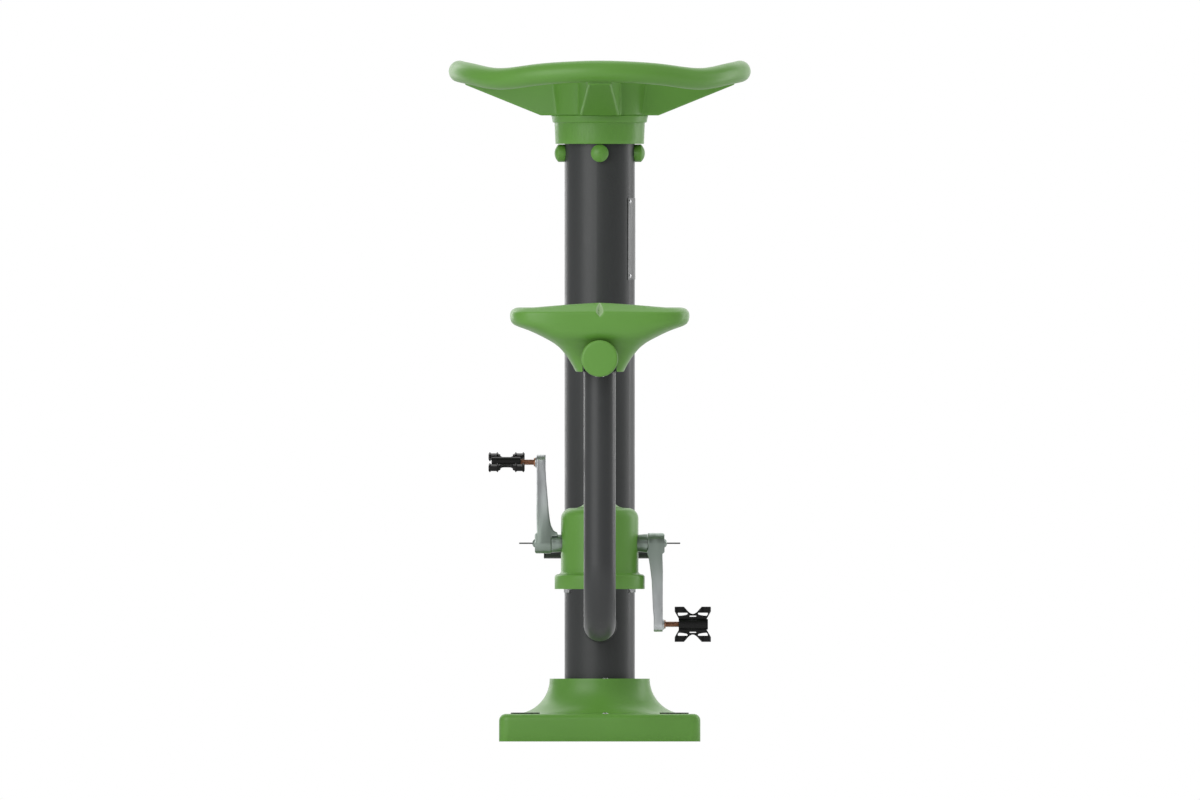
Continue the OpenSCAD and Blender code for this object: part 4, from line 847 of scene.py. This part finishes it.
for node_name, radius in edge_radii.items():
    softened(node_name, radius)
print("soft edges on", len(edge_radii), "solids")

# %% [markdown]
# Fasteners. Screws of one kind are the same part many times, so each kind is one small tree that
# builds the part about the origin with its head up, and puts a copy on every point of a seed
# mesh. The points carry an "axis" attribute, which says where each head looks. Placing objects
# in a loop would work too, but then a change to the part isn't one number in one tree.

# %% Fastener parts
def lifted(tree, shape, height):
    offset = Wire.node(tree, "ShaderNodeCombineXYZ", None, {"Z": height})
    return Wire.node(tree, "GeometryNodeTransform", None, {"Geometry": shape, "Translation": offset})


def drum(tree, radius, low, high, sides=48):
    """A closed cylinder between two heights; with six sides it is a hexagon."""
    inputs = {"Vertices": sides, "Radius": radius, "Depth": high - low}
    made = Wire.node(tree, "GeometryNodeMeshCylinder", None, inputs)
    return lifted(tree, made, (low + high) * 0.5)


def taper(tree, low_radius, high_radius, low, high):
    inputs = {"Vertices": 48, "Radius Top": high_radius, "Radius Bottom": low_radius,
              "Depth": high - low}
    return lifted(tree, Wire.node(tree, "GeometryNodeMeshCone", None, inputs), low)


def ball(tree, radius, height):
    inputs = {"Segments": 48, "Rings": 32, "Radius": radius}
    return lifted(tree, Wire.node(tree, "GeometryNodeMeshUVSphere", None, inputs), height)


def combined(tree, operation, first, second):
    settings = {"operation": operation, "solver": "EXACT"}
    made = Wire.node(tree, "GeometryNodeMeshBoolean", settings, None, None)
    tree.links.new(first.socket, made.inputs[0 if operation == "DIFFERENCE" else 1])
    tree.links.new(second.socket, made.inputs[1])
    return Wire(made.outputs[0])


def together(tree, *shapes):
    made = Wire.node(tree, "GeometryNodeJoinGeometry", None, None, None)
    for shape in shapes:
        tree.links.new(shape.socket, made.inputs[0])
    return Wire(made.outputs[0])


def close_on_points(tree, size, part, smooth):
    """The part stands on each seed point, with its Z axis along the point's own axis."""
    named = Wire.node(tree, "GeometryNodeInputNamedAttribute", {"data_type": "FLOAT_VECTOR"},
                      {"Name": "axis"})
    turned = Wire.node(tree, "FunctionNodeAlignRotationToVector", {"axis": "Z"}, {"Vector": named})
    inputs = {"Points": size["Geometry"], "Instance": part, "Rotation": turned}
    copies = Wire.node(tree, "GeometryNodeInstanceOnPoints", None, inputs)
    close_tree(tree, copies, size["Material"], smooth)
    return tree


def seed_points(name, places):
    """A mesh of points; each place is (point, direction of the head)."""
    mesh = bpy.data.meshes.new(name)
    mesh.from_pydata([point for point, _ in places], [], [])
    axis = mesh.attributes.new("axis", "FLOAT_VECTOR", "POINT")
    for k, (_, direction) in enumerate(places):
        axis.data[k].vector = direction
    return mesh


# %% Fastener trees
bolt_sizes = {"Head Radius": 0.0071, "Head Height": 0.0054, "Washer Radius": 0.0075,
              "Washer Height": 0.0016, "Shank Radius": 0.004, "Shank Length": 0.022}
screw_sizes = {"Head Radius": 0.006, "Head Height": 0.0028, "Socket Radius": 0.0025,
               "Shank Radius": 0.0025, "Shank Length": 0.012}
rivet_sizes = {"Head Radius": 0.004, "Head Height": 0.0016, "Shank Radius": 0.0022,
               "Shank Length": 0.005}


def hexagon_bolt_tree():
    """Washer, hexagon head with a 30 degree chamfer, and shank."""
    tree, size = new_tree("hexagon_bolts", bolt_sizes)
    low, head = size["Washer Height"], size["Head Radius"]
    high = low + size["Head Height"]
    cone = taper(tree, head * 0.88 + size["Head Height"] * 1.73, head * 0.88, low, high)
    top = combined(tree, "INTERSECT", drum(tree, head, low, high, 6), cone)
    washer = drum(tree, size["Washer Radius"], low * 0, low)
    shank = drum(tree, size["Shank Radius"], -size["Shank Length"], low)
    return close_on_points(tree, size, together(tree, top, washer, shank), False)


def button_screw_tree():
    """Rounded head with a hexagon socket, and shank."""
    tree, size = new_tree("button_screws", screw_sizes)
    head, high = size["Head Radius"], size["Head Height"]
    dome = head * 1.5
    sphere = ball(tree, dome, high - dome)
    top = combined(tree, "INTERSECT", drum(tree, head, high * 0, high), sphere)
    socket = drum(tree, size["Socket Radius"], high * 0.35, high * 2, 6)
    top = combined(tree, "DIFFERENCE", top, socket)
    shank = drum(tree, size["Shank Radius"], -size["Shank Length"], high * 0.2)
    return close_on_points(tree, size, together(tree, top, shank), False)


def rivet_tree():
    """Domed head on a shank."""
    tree, size = new_tree("rivets", rivet_sizes)
    head, high = size["Head Radius"], size["Head Height"]
    dome = (head * head + high * high) / (high * 2)
    top = combined(tree, "INTERSECT", drum(tree, head * 1.2, high * 0, high * 1.5),
                   ball(tree, dome, high - dome))
    shank = drum(tree, size["Shank Radius"], -size["Shank Length"], high * 0.2)
    return close_on_points(tree, size, together(tree, top, shank), True)


# %% Fasteners
drive_middle_y = -0.240
flange_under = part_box("drive_housing")[0].z
bolt_circle, up, down = 0.074, (0, 0, 1), (0, 0, -1)
bolt_turns = [math.radians(30 + 60 * k) for k in range(6)]
bolt_places = [((bolt_circle * math.cos(a), drive_middle_y + bolt_circle * math.sin(a),
                 flange_under), down) for a in bolt_turns]

screw_shift = 0.011
screw_rows = ((0.178175, 0.055), (0.0846, 0.125))        # distance from the post's axis, height
screw_places = [((s * screw_shift, -s * y, z), up) for s in (1, -1) for y, z in screw_rows]

rivet_radius, rivet_angle, rivet_heights = 0.071, math.radians(31.26), (0.925, 1.073)
rivet_places = []
for turn in (-rivet_angle, rivet_angle):
    out = Vector((math.cos(turn), math.sin(turn), 0))
    rivet_places += [(out * rivet_radius + Vector((0, 0, z)), out) for z in rivet_heights]

fastener_kinds = [
    ("flange_bolts", hexagon_bolt_tree, bolt_sizes, bolt_places, "drive_bolts"),
    ("button_screws", button_screw_tree, screw_sizes, screw_places, "cover_screws"),
    ("rivets", rivet_tree, rivet_sizes, rivet_places, "plate_rivets")]
for name, tree_of_kind, sizes, places, node_name in fastener_kinds:
    fasteners = grown(tree_of_kind(), name, sizes, zinc, seed_points(name, places))
    settle(fasteners, "frame", "zinc_steel", node_name)

# %% [markdown]
# Pedal spindles. A thread follows a rule: its height at a point depends on how far along and how
# far round the rod the point is. So a flat grid is rolled into a rod, and the formula gives each
# vertex its radius. A stack of rings would look the same from afar, but a real thread climbs.

# %% Threaded spindles
spindle_sizes = ["Start", "End", "Axle Y", "Axle Z", "Crest Radius", "Thread Depth", "Pitch",
                 "Plain Start", "Plain End", "Collar Start", "Collar End", "Collar Radius"]
thread_rows, thread_sides = 620, 32


def inside(value, low, high):
    return value.math("GREATER_THAN", low) * value.math("LESS_THAN", high)


def spindle_tree():
    tree, size = new_tree("threaded_spindle", spindle_sizes)
    grid = {"Size X": 1.0, "Size Y": 1.0, "Vertices X": thread_rows, "Vertices Y": thread_sides + 1}
    flat = Wire.node(tree, "GeometryNodeMeshGrid", None, grid)
    grid_x, grid_y, _ = Wire.node(tree, "GeometryNodeInputPosition").parts()
    row = (grid_x + 0.5) * (thread_rows - 1)
    along = ((row - 1) / (thread_rows - 3)).math("MAXIMUM", 0).math("MINIMUM", 1)
    round_share = grid_y + 0.5
    x = size["Start"] + along * (size["End"] - size["Start"])
    climb = ((x - size["Start"]) / size["Pitch"] + round_share).math("FRACT")
    valley = abs(climb * 2 - 1)
    plain = inside(x, size["Plain Start"], size["Plain End"])
    radius = size["Crest Radius"] - size["Thread Depth"] * valley * (1 - plain)
    collar = inside(x, size["Collar Start"], size["Collar End"]) * size["Collar Radius"]
    radius = radius.math("MAXIMUM", collar) * inside(row, 0.5, thread_rows - 1.5)
    turn = round_share * (-2 * math.pi)
    place = joined(x, size["Axle Y"] + radius * turn.math("COSINE"),
                   size["Axle Z"] + radius * turn.math("SINE"))
    rod = Wire.node(tree, "GeometryNodeSetPosition", None, {"Geometry": flat, "Position": place})
    rod = Wire.node(tree, "GeometryNodeMergeByDistance", None, {"Geometry": rod, "Distance": 0.00001})
    close_tree(tree, rod, size["Material"])
    return tree


threaded = spindle_tree()
# Radii between which the thread's painted shade gives way to its painted lighter crests.
dark_below, bright_above = 0.0048, 0.0057
plain_run, collar_run = (0.1575, 0.1985), (0.1284, 0.1309)        # distances from the middle
for side, sign in (("left", -1), ("right", 1)):
    axle = joint_place["pedal_" + side + "_spin"]
    copper = turned_metal("copper_thread_" + side, copper_tone, axle, dark_below, bright_above)
    node_name = "pedal_spindle_" + side
    ends = [corner.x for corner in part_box(node_name)]
    plain, collar = (sorted(sign * x for x in run) for run in (plain_run, collar_run))
    spindle = grown(threaded, "threaded_spindle_" + side, {
        "Start": ends[0], "End": ends[1], "Axle Y": axle.y, "Axle Z": axle.z,
        "Crest Radius": 0.00575, "Thread Depth": 0.0010, "Pitch": 0.0022,
        "Plain Start": plain[0], "Plain End": plain[1],
        "Collar Start": collar[0], "Collar End": collar[1], "Collar Radius": 0.0085}, copper)
    settle(spindle, "crankset", "copper_steel", node_name)

# %% [markdown]
# Weld beads, where steel tubes meet. A bead is a row of overlapping puddles along the line in
# which two surfaces cut each other. The lines are worked out below: in each, a tube meets a tube
# or a plate. The tree sweeps a small circle along them, whose size swells once per puddle.
# The beads are coated with the tubes, so they take the same powder coat.

# %% Weld beads
def weld_tree():
    tree, size = new_tree("weld_beads", weld_sizes)
    line = Wire.node(tree, "GeometryNodeMeshToCurve", None, {0: size["Geometry"]})
    line = Wire.node(tree, "GeometryNodeResampleCurve", None, {"Curve": line, "Count": 260})
    along = Wire.node(tree, "GeometryNodeSplineParameter", None, None, 1)
    swell = 1 + size["Swell"] * abs((along * math.pi / size["Puddle Length"]).math("SINE"))
    circle = {"Resolution": 14, "Radius": size["Bead Radius"]}
    profile = Wire.node(tree, "GeometryNodeCurvePrimitiveCircle", None, circle)
    sweep = {"Curve": line, "Profile Curve": profile, "Fill Caps": True, "Scale": swell}
    bead = Wire.node(tree, "GeometryNodeCurveToMesh", None, sweep)
    close_tree(tree, bead, size["Material"])
    return tree


def crossing_loops():
    """Closed lines in which the tubes meet, from the tubes' radii and their places."""
    turn = np.linspace(0, 2 * np.pi, 96, endpoint=False)
    c, s = np.cos(turn), np.sin(turn)
    post, tube, cross, foot = 0.06985, 0.03175, 0.0212, 0.02415
    run_z, cross_z, seat_y = 0.231, 0.3848, -0.480
    foot_y = drive_middle_y + foot * s
    reach = np.sqrt(post ** 2 - (cross * c) ** 2)
    lines = [
        (tube * c, -np.sqrt(post ** 2 - (tube * c) ** 2), run_z + tube * s),
        (-reach, cross * c, cross_z + cross * s),
        (reach, cross * c, cross_z + cross * s),
        (foot * c, foot_y, run_z + np.sqrt(tube ** 2 - (foot * c) ** 2)),
        (foot * c, foot_y, np.full(len(turn), flange_under)),
        (tube * c, seat_y + tube * s, rail_z - np.abs(tube * s))]
    return [np.column_stack(line) for line in lines]


def loops_mesh(name, loops):
    points, edges = [], []
    for loop in loops:
        first = len(points)
        points += loop.tolist()
        edges += [(first + k, first + (k + 1) % len(loop)) for k in range(len(loop))]
    mesh = bpy.data.meshes.new(name)
    mesh.from_pydata(points, edges, [])
    return mesh


weld_sizes = {"Bead Radius": 0.0022, "Puddle Length": 0.0045, "Swell": 0.22}
weld_lines = loops_mesh("weld_lines", crossing_loops())
welds = grown(weld_tree(), "weld_beads", weld_sizes, coat, weld_lines)
settle(welds, "frame", "dark_steel")

# %% [markdown]
# Stage: a pale floor that takes the object's shadow, and plain soft light. The world is white to
# the camera. As a lamp it is dimmer, shines from all sides, and more from above and the right, so
# that colours come out as written. Reflections find a room of their own: dim in front and dimmer
# still high and low, with a dark strip at the right, and a white wall behind that lines both
# flanks of every round piece. Three large lamps shape the sides. Real studio walls would do it
# too, but each wall would change the light and the reflections at once.

# %% Stage and light
floor_half, floor_dark, floor_pale = 7.0, (0.66, 0.66, 0.66), (0.69, 0.69, 0.69)


def pale_floor():
    half = floor_half
    mesh = bpy.data.meshes.new("floor")
    mesh.from_pydata([(-half, -half, 0), (half, -half, 0), (half, half, 0), (-half, half, 0)],
                     [], [(0, 1, 2, 3)])
    material, tree, place = start_finish("floor_paint")
    tone = noise(place, 3, 3)
    base = colours_mixed(tone, shade(floor_dark, 1), shade(floor_pale, 1))
    end_finish(material, tree, {"IOR": 1.3}, base, 0.6 + tone * 0.1)
    mesh.materials.append(material)
    floor = placed("floor", mesh)


lamp_levels = {"all": 0.31, "above": 0.75, "right": 0.3}
room_levels = {"front": 0.30, "strip": 0.06, "wall": 1.5}
strip_turn, strip_half = 0.69, 0.7        # radians to the right of the camera
wall_start, wall_full = 2.1, 2.9
dim_start, dim_full, dim_share = 0.16, 0.5, 0.5        # the look's rise or fall, and what it takes


def white_world(lamp, room):
    """White to the camera, with one set of levels as a lamp and another in reflections."""
    world = bpy.data.worlds.new("white_room")
    world.use_nodes = True
    tree = world.node_tree
    tree.nodes.clear()
    path = Wire.node(tree, "ShaderNodeLightPath", None, None, None)
    rays = [Wire(path.outputs["Is %s Ray" % kind]) for kind in ("Camera", "Transmission", "Glossy")]
    seen, mirrored = rays[0].math("MAXIMUM", rays[1]), rays[2]
    look_x, look_y, look_z = Wire.node(tree, "ShaderNodeTexCoord").parts()
    turn = look_x.math("ARCTAN2", -look_y)
    strip = 1 - stepped(abs(turn - strip_turn), strip_half * 0.3, strip_half)
    wall = stepped(abs(turn), wall_start, wall_full)
    front = room["front"] + (room["strip"] - room["front"]) * strip
    front = front * (1 - dim_share * stepped(abs(look_z), dim_start, dim_full))
    gloss = front + (room["wall"] - front) * wall
    above, right = (look.math("MAXIMUM", 0) for look in (look_z, look_x))
    light = lamp["all"] + lamp["above"] * above + lamp["right"] * right
    level = light + mirrored * (gloss - light)
    strength = level + seen * (1 - level)
    inputs = {"Color": (1, 1, 1, 1), "Strength": strength}
    glow = Wire.node(tree, "ShaderNodeBackground", None, inputs)
    Wire.node(tree, "ShaderNodeOutputWorld", None, {"Surface": glow}, None)
    scene.world = world


def softbox(name, place, width, height, power):
    """A rectangular lamp that looks at the part's middle."""
    data = bpy.data.lights.new(name, "AREA")
    data.shape = "RECTANGLE"
    data.size = width
    data.size_y = height
    data.energy = power
    lamp = placed(name, data)
    lamp.location = place
    lamp.rotation_mode = "QUATERNION"
    lamp.rotation_quaternion = (part_middle - Vector(place)).to_track_quat("-Z", "Y")


pale_floor()
white_world(lamp_levels, room_levels)
part_middle = Vector((0, 0, 0.7))
softbox("key_left", place=(-2.2, -3.2, 1.9), width=3.2, height=3.0, power=72)
softbox("side_right", place=(2.9, 1.3, 1.4), width=1.0, height=2.6, power=24)
softbox("rim_left", place=(-1.9, 3.0, 1.6), width=0.9, height=2.6, power=15)
scene.view_settings.view_transform = "Standard"
print("stage ready")
